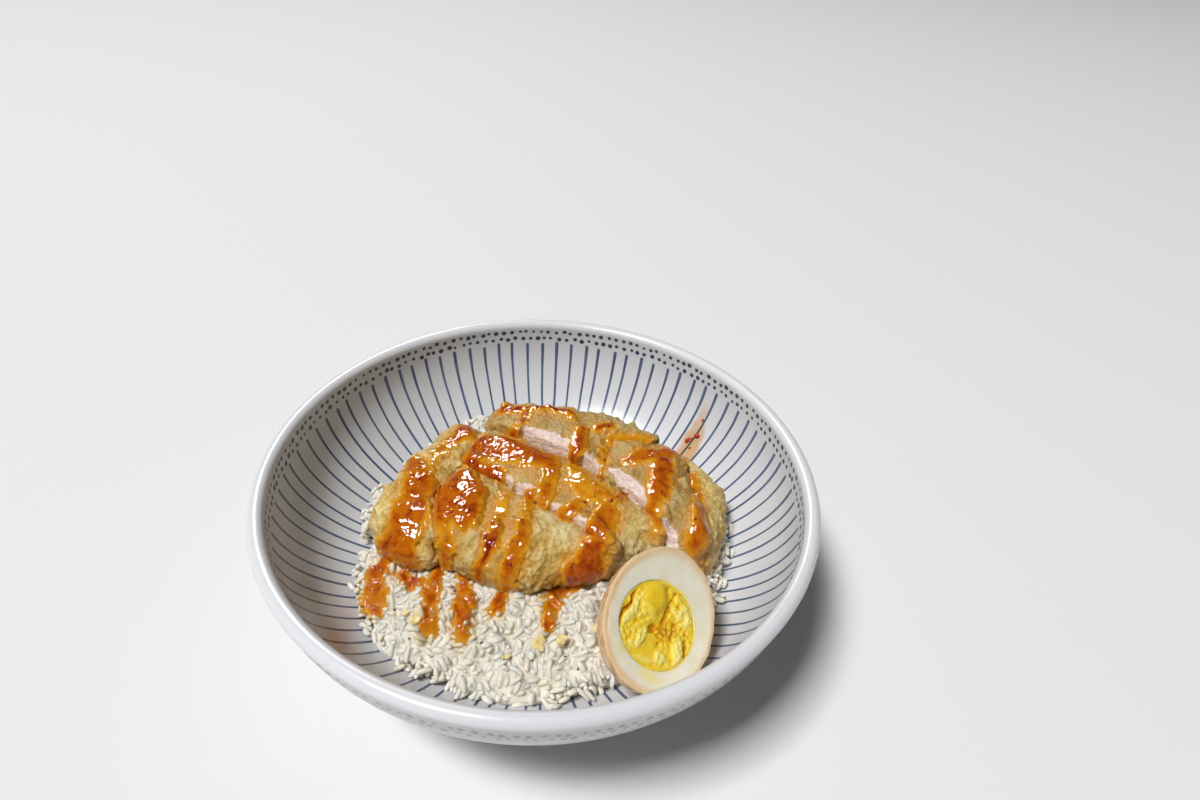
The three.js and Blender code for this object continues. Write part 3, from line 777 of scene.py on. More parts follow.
def bowl_look():
    bowl = settings("donburi_bowl")
    look = Look("striped_glazed_ceramic")
    place = look.place()
    x, y, z = look.parts(place)
    radius = (x * x + y * y).root()
    angle = y.arctan2(x)
    inside = look.step(look.stored("inside"), 0.4, 0.6)
    wash = look.noise(place, 9, 3)
    waver = look.noise(place, 14, 1) - 0.5

    def nearest_mark(count, phase=0.0):
        """Number of the nearest of the evenly spaced marks, and how far off it is in marks."""
        turn = angle * (count / math.tau) + phase
        index = turn.nearest()
        return (index + count) % count, turn - index

    index, off = nearest_mark(bowl.stripe_count)
    spacing = radius * (math.tau / bowl.stripe_count)
    shift = (look.chance(index) - 0.5) * STRIPE_SHIFT
    across = (off - shift) * spacing + waver * STRIPE_WAVER
    top = STRIPE_TOP + (look.chance(index + 300) - 0.5) * STRIPE_TOP_SHIFT
    above = (z - top).most(0)
    head = look.step(z, 46, 64)
    swelling = 0.42 + 0.22 * head + 0.2 * (wash - 0.5) + 0.12 * look.chance(index + 700)
    half = bowl.stripe_width / MM * swelling
    away = (across * across + above * above).root()
    stripes = look.step(away - half, 0.12, -0.12) * look.step(radius, 18, 24)

    def dot_row(height, phase, seed):
        number, aside = nearest_mark(bowl.dot_count, phase)
        sideways = aside + (look.chance(number + seed) - 0.5) * 0.4
        sideways = sideways * radius * (math.tau / bowl.dot_count)
        upright = (z - height + (look.chance(number + seed + 200) - 0.5) * 0.9) * DOT_STRETCH
        size = bowl.dot_width / MM / 2 * (0.72 + 0.5 * look.chance(number + seed + 400))
        return look.step((sideways * sideways + upright * upright).root() - size, 0.16, -0.16)

    dots = dot_row(*DOT_ROWS[0], 900).most(dot_row(*DOT_ROWS[1], 1900))
    outer_dots = dot_row(*OUTER_DOT_ROWS[0], 2900).most(dot_row(*OUTER_DOT_ROWS[1], 3900))

    run = np.subtract(SMEAR_END, SMEAR_TOP)
    long = float(np.linalg.norm(run))
    from_top = look.vector("SUBTRACT", place, tuple(value * MM for value in SMEAR_TOP))
    down = look.vector("DOT_PRODUCT", from_top, tuple(run / long), 1) * (1 / MM)
    whole = look.vector("LENGTH", from_top, (0, 0, 0), 1) * (1 / MM)
    beside = (whole * whole - down * down).most(0).root()
    wide = SMEAR_HALF * (0.35 + 0.65 * look.step(down, 0, long * 0.7)) + 3.0 * (look.noise(place, 6, 2) - 0.5)
    smear = look.step(beside - wide, 1.4, -1.4) * look.step(down, -3, 4) * look.step(down, long + 8, long)
    smear = smear * inside * (0.5 + 0.5 * look.step(down, 2, long * 0.7))

    cloudy = look.blend(0.25 * wash, bowl.glaze, tint(206, 206, 210))
    paint = look.blend(look.step(wash, 0.35, 0.75) * 0.4, bowl.paint, tint(108, 130, 164))
    painted = look.blend(stripes * inside * 0.93, cloudy, paint)
    painted = look.blend(dots * inside * 0.95, painted, bowl.dot_paint)
    painted = look.blend(outer_dots * (1 - inside) * 0.55, painted, tint(110, 118, 134))
    painted = look.blend(smear * 0.85, painted, bowl.smear, "MULTIPLY")
    # Painted shade: the outside of the bowl below the lip is darkened by a multiply tint
    painted = look.blend((1 - inside) * look.step(z, 70, 64), painted, tint(228, 227, 222), "MULTIPLY")
    # Painted highlight: the top of the lip is lighter than the rest of the glaze
    painted = look.blend(look.step(z, 70, 72), painted, tint(229, 230, 233))
    bare = look.step(z, 1.4, 0.7)
    painted = look.blend(bare, painted, tint(202, 190, 168))
    rough = 0.26 + 0.4 * bare
    normal = look.relief(look.noise(place, 26, 1), 0.35)
    return look.done(look.surface(base_color=painted, roughness=rough, normal=normal, ior=1.5))


def rice_look():
    rice = settings("donburi_rice")
    look = Look("cooked_white_rice")
    place = look.place()
    tone = look.stored("tone")
    stain = look.stored("stain")
    base = look.blend(look.step(tone, 0.35, 1.0), rice.grain, rice.warm)
    base = look.blend(look.step(stain, 0.1, 1.0) * 0.7, base, rice.stained)
    speckle = look.noise(place, 1.1, 2)
    base = look.blend(look.step(speckle, 0.62, 0.8) * 0.25, base, tint(206, 190, 160))
    normal = look.relief(look.noise(place, 0.9, 2), 0.12)
    return look.done(look.surface(
        base_color=base, roughness=0.3 + 0.25 * speckle, normal=normal, ior=1.42,
        **soft(0.9, (1.0, 0.9, 0.78), 2.2)))


def glaze_surface(look, place, tone, cover, alpha=1.0):
    """Glossy chilli glaze: yellow where it is thin, amber to dark red where it is thick."""
    cutlet = settings("donburi_cutlet")
    clouds = look.step(look.noise(place, 4.6, 3, 0.6), 0.44, 0.7)
    fine = look.noise(place, 1.5, 3, 0.6) - 0.5
    thick = look.step(cover, -0.4, 3.2)
    depth = tone * (0.1 + 0.8 * thick) + 0.32 * clouds * thick + 0.34 * fine - 0.1
    base = look.ramp(depth, (
        (0.0, cutlet.glaze_thin), (0.22, tint(208, 132, 16)), (0.46, cutlet.glaze),
        (0.72, tint(160, 60, 8)), (0.98, cutlet.glaze_dark)))
    flecks = look.spots(place, 2.4, 0.17, 0.2)
    base = look.blend(flecks * 0.8, base, tint(104, 18, 6))
    calm = 1 - 0.55 * look.step(cover, 3, 6)
    ripples = look.relief(look.noise(place, 4.6, 2, 0.35) * calm, 0.6)
    normal = look.relief(flecks, 0.15, ripples)
    return look.surface(
        base_color=base, roughness=0.05 + 0.1 * flecks, normal=normal, alpha=alpha, ior=1.46,
        **soft(0.15, (1.0, 0.4, 0.1), 1.2))


def batter_colour(look, place):
    """Pale golden batter in patches, with painted shade in its hollows and painted highlight on its crags,
    and how fine its grain is.
    """
    cutlet = settings("donburi_cutlet")
    patches = look.noise(place, 7, 3, 0.6)
    grain = look.noise(place, 1.2, 4, 0.7)
    # Higher crags come out lighter and hollows darker: painted highlight and painted shade
    tone_and_relief_shade = 0.46 * patches + 0.54 * grain + 0.14 * look.stored("crag")
    base = look.ramp(tone_and_relief_shade, (
        (0.34, cutlet.crust_dark_and_shade), (0.44, cutlet.crust), (0.53, tint(228, 196, 108)),
        (0.63, cutlet.crust_light)))
    olive = look.step(look.noise(place, 11, 1), 0.54, 0.7)
    base = look.blend(olive * 0.25, base, tint(188, 154, 56))
    cream = look.step(look.noise(place, 9.5, 2), 0.52, 0.68)
    base = look.blend(cream * 0.45, base, tint(250, 240, 196))
    crisp = look.spots(place, 1.5, 0.32, 0.2)
    return look.blend(crisp * 0.5, base, tint(160, 100, 28)), grain


def cutlet_look():
    cutlet = settings("donburi_cutlet")
    look = Look("crisp_batter_under_glaze")
    place = look.place()
    cover = look.stored("glaze_cover")
    tone = look.stored("glaze_tone")
    meat = look.step(look.stored("meat"), 0.35, 0.6)
    edge = look.stored("edge")
    base, grain = batter_colour(look, place)
    toasted = look.step(edge + 0.5 * (look.noise(place, 3, 2) - 0.5), 0.4, 1.0)
    base = look.blend(toasted * 0.35, base, tint(188, 138, 62))
    fibres = look.noise(look.vector("MULTIPLY", place, (1, 1, 2.6)), 1.8, 3, 0.7)
    flesh = look.blend(look.step(fibres, 0.38, 0.62), tint(238, 204, 188), cutlet.meat)
    base = look.blend(meat, base, flesh)
    # Browner crust per slice: partly real browning, partly painted shade on the back and right slices
    base = look.blend(look.stored("browned") * 0.6 * (1 - meat), base, tint(156, 114, 42))
    wander = look.noise(place, 3.6, 3, 0.6) - 0.5
    soaked = look.step(look.stored("soak") + 8.0 * wander, -1.5, 3.5) * 0.8
    soaked = soaked.most(look.step(cover + 3.0 * wander, -3.4, -0.2)) * (1 - 0.85 * meat)
    film = look.blend(look.step(wander, -0.1, 0.16), cutlet.glaze_thin, tint(202, 128, 22))
    base = look.blend(soaked * 0.85, base, film)
    pores = look.relief(look.noise(place, 0.9, 3, 0.65), 0.7)
    normal = look.relief(fibres * meat, 0.6, pores)
    rough = 0.24 + 0.3 * grain + 0.2 * meat - 0.16 * soaked
    crust = look.surface(
        base_color=base, roughness=rough, normal=normal, ior=1.45, **soft(0.22, (1.0, 0.7, 0.35), 1.6))
    wet = look.step(cover, -0.25, 0.25)
    return look.done(look.either(wet, crust, glaze_surface(look, place, tone, cover)))


def drip_look():
    look = Look("chilli_glaze_gel")
    place = look.place()
    cover = look.stored("glaze_cover")
    clear = 0.6 + 0.38 * look.step(cover, -0.4, 1.8)
    return look.done(glaze_surface(look, place, look.stored("glaze_tone"), cover, clear))


def crumb_look():
    look = Look("loose_batter_crumb")
    place = look.place()
    base, grain = batter_colour(look, place)
    base = look.blend(0.7, base, tint(250, 234, 170))
    normal = look.relief(look.noise(place, 0.8, 3), 0.2)
    return look.done(look.surface(base_color=base, roughness=0.3 + 0.3 * grain, normal=normal))


def speck_look(name, dark, light, rough):
    look = Look(name)
    place = look.place()
    patches = look.noise(place, 0.8, 2)
    base = look.blend(look.step(patches, 0.35, 0.7), dark, light)
    normal = look.relief(patches, 0.15)
    return look.done(look.surface(base_color=base, roughness=rough + 0.2 * patches, normal=normal))


def egg_white_look():
    egg = settings("donburi_egg")
    look = Look("boiled_egg_white")
    place = look.place()
    rim = look.stored("rim")
    skin = look.stored("skin")
    clouds = look.noise(place, 6, 2) - 0.5
    milky = look.blend(look.step(clouds, -0.12, 0.14) * 0.7, egg.white, tint(244, 240, 222))
    base = look.blend(look.step(rim + 0.2 * clouds, 0.66, 1.12), milky, egg.rim)
    halo = look.step(rim + 0.16 * look.noise(place, 2.2, 2) - 0.08, 0.11, -0.03)
    base = look.blend(halo * 0.7, base, tint(246, 216, 96))
    mottled = look.step(look.noise(place, 2.6, 3), 0.4, 0.62)
    outside = look.blend(mottled, egg.skin, tint(242, 212, 172))
    base = look.blend(look.step(skin, 0.5, 1.0), base, outside)
    yolky = look.step(look.stored("yolk_smear") + 0.3 * clouds, 0.3, 0.9)
    base = look.blend(yolky * 0.6, base, tint(244, 222, 130))
    normal = look.relief(look.noise(place, 2.4, 2), 0.2)
    return look.done(look.surface(
        base_color=base, roughness=0.16 + 0.16 * look.noise(place, 5, 2), normal=normal, ior=1.4,
        **soft(0.45, (1.0, 0.7, 0.45), 3.0)))


def yolk_look():
    egg = settings("donburi_egg")
    look = Look("boiled_egg_yolk")
    place = look.place()
    shade = look.stored("shade")
    grain = look.noise(place, 0.9, 3, 0.6) - 0.5
    # The stored shade is pale on raised crumbs and lumps and deep in hollows, partly painted shade
    level = 0.5 + 0.7 * shade + 0.5 * grain
    base = look.ramp(level, (
        (0.08, egg.yolk_deep_and_shade), (0.42, egg.yolk), (0.62, tint(250, 216, 70)), (1.0, egg.yolk_pale)))
    normal = look.relief(look.noise(place, 0.7, 3, 0.6), 0.3)
    return look.done(look.surface(
        base_color=base, roughness=0.38 + 0.3 * grain, normal=normal, ior=1.4,
        **soft(0.5, (1.0, 0.7, 0.25), 2.2)))


# Bowl


def inner_wall(radius):
    """Height of the bowl's inner wall at a distance from its axis."""
    share = np.minimum(np.asarray(radius) / INNER_RADIUS, 1)
    return LIP_Z - INNER_DEPTH * (1 - share ** INNER_POWER) ** (1 / INNER_POWER)


def outer_wall(radius):
    return LIP_Z - OUTER_DEPTH * np.sqrt(1 - (np.asarray(radius) / OUTER_RADIUS) ** 2)


def bowl_profile():
    """Radius, height and side (1 inside) from under the floor over the foot and the lip to the middle."""
    profile = []
    for radius in np.linspace(4, FOOT_INNER - 0.5, FLOOR_POINTS):
        profile.append((radius, outer_wall(radius), 0))
    profile.append((FOOT_INNER, outer_wall(FOOT_INNER) - 0.5, 0))
    for middle, start in ((FOOT_INNER + FOOT_ROUND, math.pi), (FOOT_OUTER - FOOT_ROUND, math.pi * 1.5)):
        for turn in np.linspace(start, start + math.pi / 2, ROUND_POINTS):
            height = FOOT_ROUND + FOOT_ROUND * math.sin(turn)
            profile.append((middle + FOOT_ROUND * math.cos(turn), height, 0))
    low = np.array([FOOT_OUTER, outer_wall(FOOT_OUTER) - FOOT_FILLET])
    corner = np.array([FOOT_OUTER, outer_wall(FOOT_OUTER)])
    high = np.array([FOOT_OUTER + FOOT_FILLET, outer_wall(FOOT_OUTER + FOOT_FILLET)])
    for share in np.linspace(0, 1, FILLET_POINTS):
        point = (1 - share) ** 2 * low + 2 * share * (1 - share) * corner + share ** 2 * high
        profile.append((*point, 0))
    ring = BOWL_RADIUS - LIP_RADIUS
    wall_top = math.acos((ring + LIP_RADIUS * math.cos(LIP_START) - LIP_OVERHANG) / OUTER_RADIUS)
    wall_foot = math.acos((FOOT_OUTER + FOOT_FILLET) / OUTER_RADIUS)
    for turn in np.linspace(wall_foot, wall_top, OUTER_POINTS)[1:-1]:
        profile.append((OUTER_RADIUS * math.cos(turn), LIP_Z - OUTER_DEPTH * math.sin(turn), 0))
    for turn in np.linspace(LIP_START, math.pi, LIP_POINTS):
        side = 1 if turn > math.pi / 2 else 0
        profile.append((ring + LIP_RADIUS * math.cos(turn), LIP_Z + LIP_RADIUS * math.sin(turn), side))
    for turn in np.linspace(0, math.pi / 2, INNER_POINTS)[1:-1]:
        radius = INNER_RADIUS * math.cos(turn) ** (2 / INNER_POWER)
        profile.append((radius, float(inner_wall(radius)), 1))
    return np.array(profile)


def make_bowl():
    """The bowl's outline turned round its axis."""
    profile = bowl_profile()
    turns = turns_round(BOWL_SIDES)
    radius = profile[:, 0][:, None]
    height = np.broadcast_to(profile[:, 1][:, None], (len(profile), BOWL_SIDES))
    rings = np.stack([radius * np.cos(turns), radius * np.sin(turns), height], axis=2)
    points, groups = ring_body((0, 0, float(outer_wall(0))), rings, (0, 0, float(inner_wall(0))))
    inside = np.concatenate([[0], np.repeat(profile[:, 2], BOWL_SIDES), [1]])
    mesh = make_mesh("bowl_shape", points, groups, {"inside": inside})
    place_piece("glazed_bowl", mesh, bowl_look(), ["bowl"])


# Cutlet


def line_depth(points, lines):
    """How deep inside any of the lines each point lies in plan."""
    inside = np.full(len(points), -20.0)
    for line in lines:
        inside = np.maximum(inside, streak_cover(points[:, :2], line))
    return inside


def glaze_on(points, height_limit=True):
    """Depth inside the glaze, its tone and its rise at each point of a slice."""
    plan = points[:, :2]
    best = np.full(len(points), -9.0)
    weight = np.zeros(len(points))
    tones = np.zeros(len(points))
    rises = np.zeros(len(points))
    for tone, rise, low, line in STREAKS:
        cover = streak_cover(plan, line)
        if height_limit:
            cover = np.minimum(cover, (points[:, 2] - low) * STREAK_FADE)
        best = np.maximum(best, cover)
        pull = np.exp(np.clip(cover, -6, 6) * STREAK_BLEND)
        weight += pull
        tones += pull * tone
        rises += pull * rise
    wander = 1.4 * bumps(points, 6, 11) + bumps(points, 2.6, 12) + 0.4 * bumps(points, 1.2, 14) - 0.2
    return best + wander, tones / weight, rises / weight


def bare_meat(points, node):
    """1 where a slice shows its meat."""
    ragged = bumps(points, 3.4, 30) + 0.6 * bumps(points, 1.5, 31)
    return ease(line_depth(points, BARE_MEAT.get(node, ())) + ragged, -0.4, 0.5)


def crust_relief(points, seed):
    """Lumps, sharp ridges and fine grain of the fried batter, in millimetres."""
    shift = np.stack([bumps(points, 6, seed + 100 * axis) for axis in range(1, 4)], axis=1)
    bent = points + 1.6 * shift
    ridge = (1 - np.abs(bumps(bent, 7, seed))) ** 3
    flaky = (1 - np.abs(bumps(bent, 3.2, seed + 3))) ** 3
    large = bumps(points, 10, seed + 7) + 0.6 * (lumps(bent, 6, seed + 13) - 0.5)
    fine = 0.5 * (lumps(bent, 2.6, seed + 19) - 0.5) + 0.45 * (flaky - 0.25)
    fine += 0.34 * bumps(points, 1.25, seed + 23)
    patchy = ease(bumps(points, 7, seed + 29), -0.4, 0.5)
    frill = np.maximum(bumps(bent, 3.6, seed + 31), 0) ** 2 * bumps(points, 9, seed + 37)
    return large + 0.8 * (ridge - 0.25) + fine * (0.5 + patchy) + 5.0 * np.maximum(frill, 0)


def slice_piece(node):
    """Name of the piece that takes a slice's place."""
    return node.replace("chicken", "slice")


def make_slice(number, node, look):
    """The CAD's slice made fine, with crags, bare meat at the cuts and raised glaze."""
    cutlet = settings("donburi_cutlet")
    points, quads, edges = voxel_mesh(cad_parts[node].data, SLICE_VOXEL)
    points = relax(points, edges, SLICE_ROUNDS, SLICE_RELAX)
    groups = outward(points, [quads])
    normals = vertex_normals(points, groups)
    cover, tone, rise = glaze_on(points)
    cover = np.where(normals[:, 2] < UNDERSIDE, -3, cover)
    wet = ease(cover, -0.3, 0.8)
    meat = bare_meat(points, node) * (1 - 0.9 * wet)
    edge = ease(0.75 - normals[:, 2], 0, 0.5) * (1 - meat)
    crags = crust_relief(points, CRUST_SEED + number) * cutlet.roughness / CRAG_MIDDLE
    out = SEAM_FILL * (0.4 + 1.2 * edge) + crags * (1 - 0.6 * wet) * (1 - 0.9 * meat) * (1 + 0.4 * edge)
    out += meat * (0.3 * bumps(points * (1, 1, 2.2), 2.0, 60) - MEAT_SINK)
    share = np.clip(cover / STREAK_EDGE, 0, 1)
    ripples = 0.35 * bumps(points, 5.5, 61) + 0.08 * bumps(points, 2.6, 63)
    out += rise * np.sqrt(share * (2 - share)) + wet * ripples
    dome = np.clip(cover / DOME_EDGE, 0, 1)
    out += DOME_RISE * rise * dome * (2 - dome)
    for x, y, z, size, stand in CRISP_LUMPS:
        away = np.linalg.norm(points - (x, y, z), axis=1) / size
        out += stand * np.exp(-away ** 2 * 1.6) * (0.8 + 0.5 * bumps(points, 2.0, 62))
    points = points + normals * out[:, None]
    mesh = make_mesh(node + "_shape", points, groups, {
        "glaze_cover": np.clip(cover, -3, 6), "glaze_tone": tone, "meat": meat, "edge": edge,
        "soak": np.clip(line_depth(points, SOAKED), -3, 6), "browned": np.full(len(points), BROWNING_AND_SHADE[node]),
        "crag": np.clip(crags / CRAG_HIGH, -1, 1)})
    place_piece(slice_piece(node), mesh, look, [node])


def make_cutlet():
    look = cutlet_look()
    for number, node in enumerate(SLICES):
        make_slice(number, node, look)


# Egg half


def egg_axes():
    out = EGG_FACE / np.linalg.norm(EGG_FACE)
    long = EGG_LONG - EGG_LONG @ out * out
    long = long / np.linalg.norm(long)
    return np.cross(long, out), long, out


def egg_place(across, along, out):
    """Points in the part's frame from places on the egg's own axes."""
    axes = egg_axes()
    shape = np.broadcast(across, along, out).shape
    steps = zip((across, along, out), axes)
    return EGG_MIDDLE + sum(np.broadcast_to(value, shape)[..., None] * axis for value, axis in steps)


def egg_outline(long, wide, sides):
    """Across and along of an egg outline, blunter below."""
    turns = turns_round(sides)
    return wide / 2 * np.cos(turns) * (1 - EGG_BLUNT * np.sin(turns)), long / 2 * np.sin(turns)


def make_egg_white():
    """The egg half's white: round back, edge, cut face and the hollow for the yolk, ring by ring."""
    across, along = egg_outline(EGG_LENGTH, EGG_WIDTH, EGG_SIDES)
    hole = egg_outline(YOLK_LENGTH + 2 * YOLK_GAP, YOLK_WIDTH + 2 * YOLK_GAP, EGG_SIDES)
    hole_across, hole_along = hole[0] + YOLK_SHIFT[0], hole[1] + YOLK_SHIFT[1]
    rings, rim, skin = [], [], []

    def drawn_in(by):
        return across * (1 - by / (EGG_WIDTH / 2)), along * (1 - by / (EGG_LENGTH / 2))

    def ring(x, y, out, rim_value, skin_value):
        rings.append(egg_place(x, y, out))
        rim.append(np.full(EGG_SIDES, rim_value))
        skin.append(np.full(EGG_SIDES, skin_value))

    for turn in np.linspace(0, math.pi / 2, EGG_BACK_RINGS)[1:]:
        share = math.sin(turn)
        ring(across * share, along * share, -EGG_WIDTH / 2 * math.cos(turn), 1.0, 1.0)
    for turn in np.linspace(0, math.pi / 2, EGG_EDGE_RINGS)[1:]:
        x, y = drawn_in(EGG_EDGE * (1 - math.cos(turn)))
        ring(x, y, EGG_SWELL * math.sin(turn), 1.0, 1 - turn / (math.pi / 2))
    x, y = drawn_in(EGG_EDGE)
    for share in np.linspace(0, 1, EGG_FACE_RINGS)[1:]:
        flat_x = x + (hole_across - x) * share
        flat_y = y + (hole_along - y) * share
        swell = EGG_SWELL - EGG_DIP * share + EGG_UNEVEN * flat_bumps(flat_x, flat_y, 6, 70)
        ring(flat_x, flat_y, swell, 1 - share - 0.16 * flat_x / EGG_WIDTH, 0.0)
    hollow = YOLK_DEPTH + YOLK_GAP
    middle_x, middle_y = YOLK_SHIFT
    for turn in np.linspace(math.pi / 2, 0, EGG_HOLLOW_RINGS)[1:-1]:
        share = math.sin(turn)
        x, y = middle_x + hole[0] * share, middle_y + hole[1] * share
        ring(x, y, -hollow * math.cos(turn), 0.0, 0.0)
    points, groups = ring_body(egg_place(0, 0, -EGG_WIDTH / 2), rings, egg_place(*YOLK_SHIFT, -hollow))
    x, y, _ = ((points - EGG_MIDDLE) @ np.stack(egg_axes(), axis=1)).T
    rim = np.concatenate([[1], *rim, [0]])
    scallops = EGG_SCALLOP * bumps(points, 3.4, 71) * ease(rim, 0.8, 1)
    points = points + vertex_normals(points, groups) * scallops[:, None]
    smear = np.exp(-(((x - 3) / 6) ** 2 + ((y + 20) / 2.6) ** 2))
    smear += 0.8 * np.exp(-(((x + 9.5) / 4) ** 2 + ((y + 16) / 3.4) ** 2))
    values = {"rim": rim, "skin": np.concatenate([[1], *skin, [0]]), "yolk_smear": smear}
    mesh = make_mesh("egg_white_shape", points, groups, values)
    place_piece("egg_half_white", mesh, egg_white_look(), ["egg_white"])


def yolk_relief(across, along):
    """Rise of the cut yolk and how pale it is, at places on the face. It is paler on crumbs and lumps and
    deeper in hollows, partly painted shade.
    """
    rise = np.zeros(across.shape)
    shade = np.zeros(across.shape)
    across, along = (
        across + 0.8 * flat_bumps(across, along, 3.6, 84),
        along + 0.8 * flat_bumps(across, along, 3.6, 86))
    for x, y, wide, tall, turn, height, pale in YOLK_FORMS:
        lean = math.radians(turn)
        right = (across - x) * math.cos(lean) + (along - y) * math.sin(lean)
        up = (along - y) * math.cos(lean) - (across - x) * math.sin(lean)
        away = (right / wide) ** 2 + (up / tall) ** 2
        form = ease(1.5 - away, 0, 1.4)
        rise += height * form
        shade += pale * form
    crumbly = ease(flat_bumps(across, along, 5, 80) + 0.4 + 0.4 * (across > 2), 0, 0.6)
    crumbly *= 1 - 0.9 * np.exp(-(((across + 4.6) / 5.5) ** 2 + ((along - 4.6) / 6) ** 2) ** 2)
    crumbs = lumps(flat_places(across, along), 1.7, 81).reshape(across.shape)
    fine = 0.8 * (crumbs - 0.5) + 0.3 * flat_bumps(across, along, 0.9, 82)
    rise += crumbly * fine + 0.25 * flat_bumps(across, along, 4, 83)
    # Crumb tops paler and the gaps between them deeper: painted shade
    shade += 0.9 * crumbly * fine
    return rise, np.clip(shade, -1, 1)


def make_yolk():
    """The half yolk: a bowl shape below and the crumbly cut face on top."""
    across, along = egg_outline(YOLK_LENGTH, YOLK_WIDTH, YOLK_SIDES)
    middle_x, middle_y = YOLK_SHIFT
    rings, shades = [], []
    for turn in np.linspace(0, math.pi / 2, YOLK_BACK_RINGS)[1:]:
        x, y = middle_x + across * math.sin(turn), middle_y + along * math.sin(turn)
        rings.append(egg_place(x, y, -YOLK_DEPTH * math.cos(turn)))
        shades.append(np.zeros(YOLK_SIDES))
    for share in np.linspace(1, 0, YOLK_RINGS + 1)[1:-1]:
        x, y = middle_x + across * share, middle_y + along * share
        rise, shade = yolk_relief(x, y)
        border = ease(1 - share, 0, 0.1)
        rings.append(egg_place(x, y, (rise - 0.1) * border))
        shades.append(shade)
    rise, shade = yolk_relief(np.array([middle_x]), np.array([middle_y]))
    first = egg_place(middle_x, middle_y, -YOLK_DEPTH)
    last = egg_place(middle_x, middle_y, float(rise[0]))
    points, groups = ring_body(first, rings, last)
    values = {"shade": np.concatenate([[0], *shades, shade])}
    mesh = make_mesh("egg_yolk_shape", points, groups, values)
    place_piece("egg_half_yolk", mesh, yolk_look(), ["egg_yolk"])


# Rice


def rice_height(x, y):
    """Height of the heap: flat under the cutlet, falling to the wall."""
    radius = np.hypot(x, y)
    return RICE_TOP - RICE_RISE * (radius / RICE_SPREAD) ** RICE_POWER


def rice_reach(angle):
    """How far the heap reaches in a direction."""
    reach = RICE_EDGE + sum(height * np.sin(count * angle + start) for count, height, start in RICE_WAVES)
    degrees = np.degrees(angle) % 360
    for middle, more, wide in RICE_REACHES:
        reach = reach + more * np.exp(-((degrees - middle) / wide) ** 2)
    return reach


def search_tree(meshes):
    """A search tree over meshes, in metres."""
    places, faces = [], []
    for mesh in meshes:
        start = len(places)
        places += [vertex.co.copy() for vertex in mesh.vertices]
        faces += [[start + index for index in polygon.vertices] for polygon in mesh.polygons]
    return BVHTree.FromPolygons(places, faces)


def grid_places():
    """Maps of x and y, with the middle of each cell of the grid."""
    steps = np.arange(-GRID_HALF, GRID_HALF, GRID_STEP) + GRID_STEP / 2
    return np.meshgrid(steps, steps, indexing="ij")


def grid_cell(x, y, count):
    """Row and column of the grid's cell at each place."""
    return tuple(np.clip(((value + GRID_HALF) / GRID_STEP).astype(int), 0, count - 1) for value in (x, y))


def ceiling_map(x, y):
    """Height of the underside of the food over each place, far up where there is none."""
    tree = search_tree([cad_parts[node].data for node in (*SLICES, "egg_white")])
    ceiling = np.full(x.shape, float(OPEN_SKY))
    up = Vector((0, 0, 1))
    size = CEILING_CELLS
    for i, j in itertools.product(range(0, x.shape[0], size), range(0, x.shape[1], size)):
        if math.hypot(x[i, j], y[i, j]) < RICE_SPREAD:
            hit = tree.ray_cast(Vector((x[i, j] * MM, y[i, j] * MM, RAY_FLOOR * MM)), up)[0]
            if hit is not None:
                ceiling[i:i + size, j:j + size] = hit.z / MM
    return ceiling


def core_height(x, y):
    """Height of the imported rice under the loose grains."""
    uneven = 0.8 * flat_bumps(x, y, 6, 90) + 0.4 * flat_bumps(x, y, 2.6, 91)
    return rice_height(x, y) - RICE_DEPTH + uneven


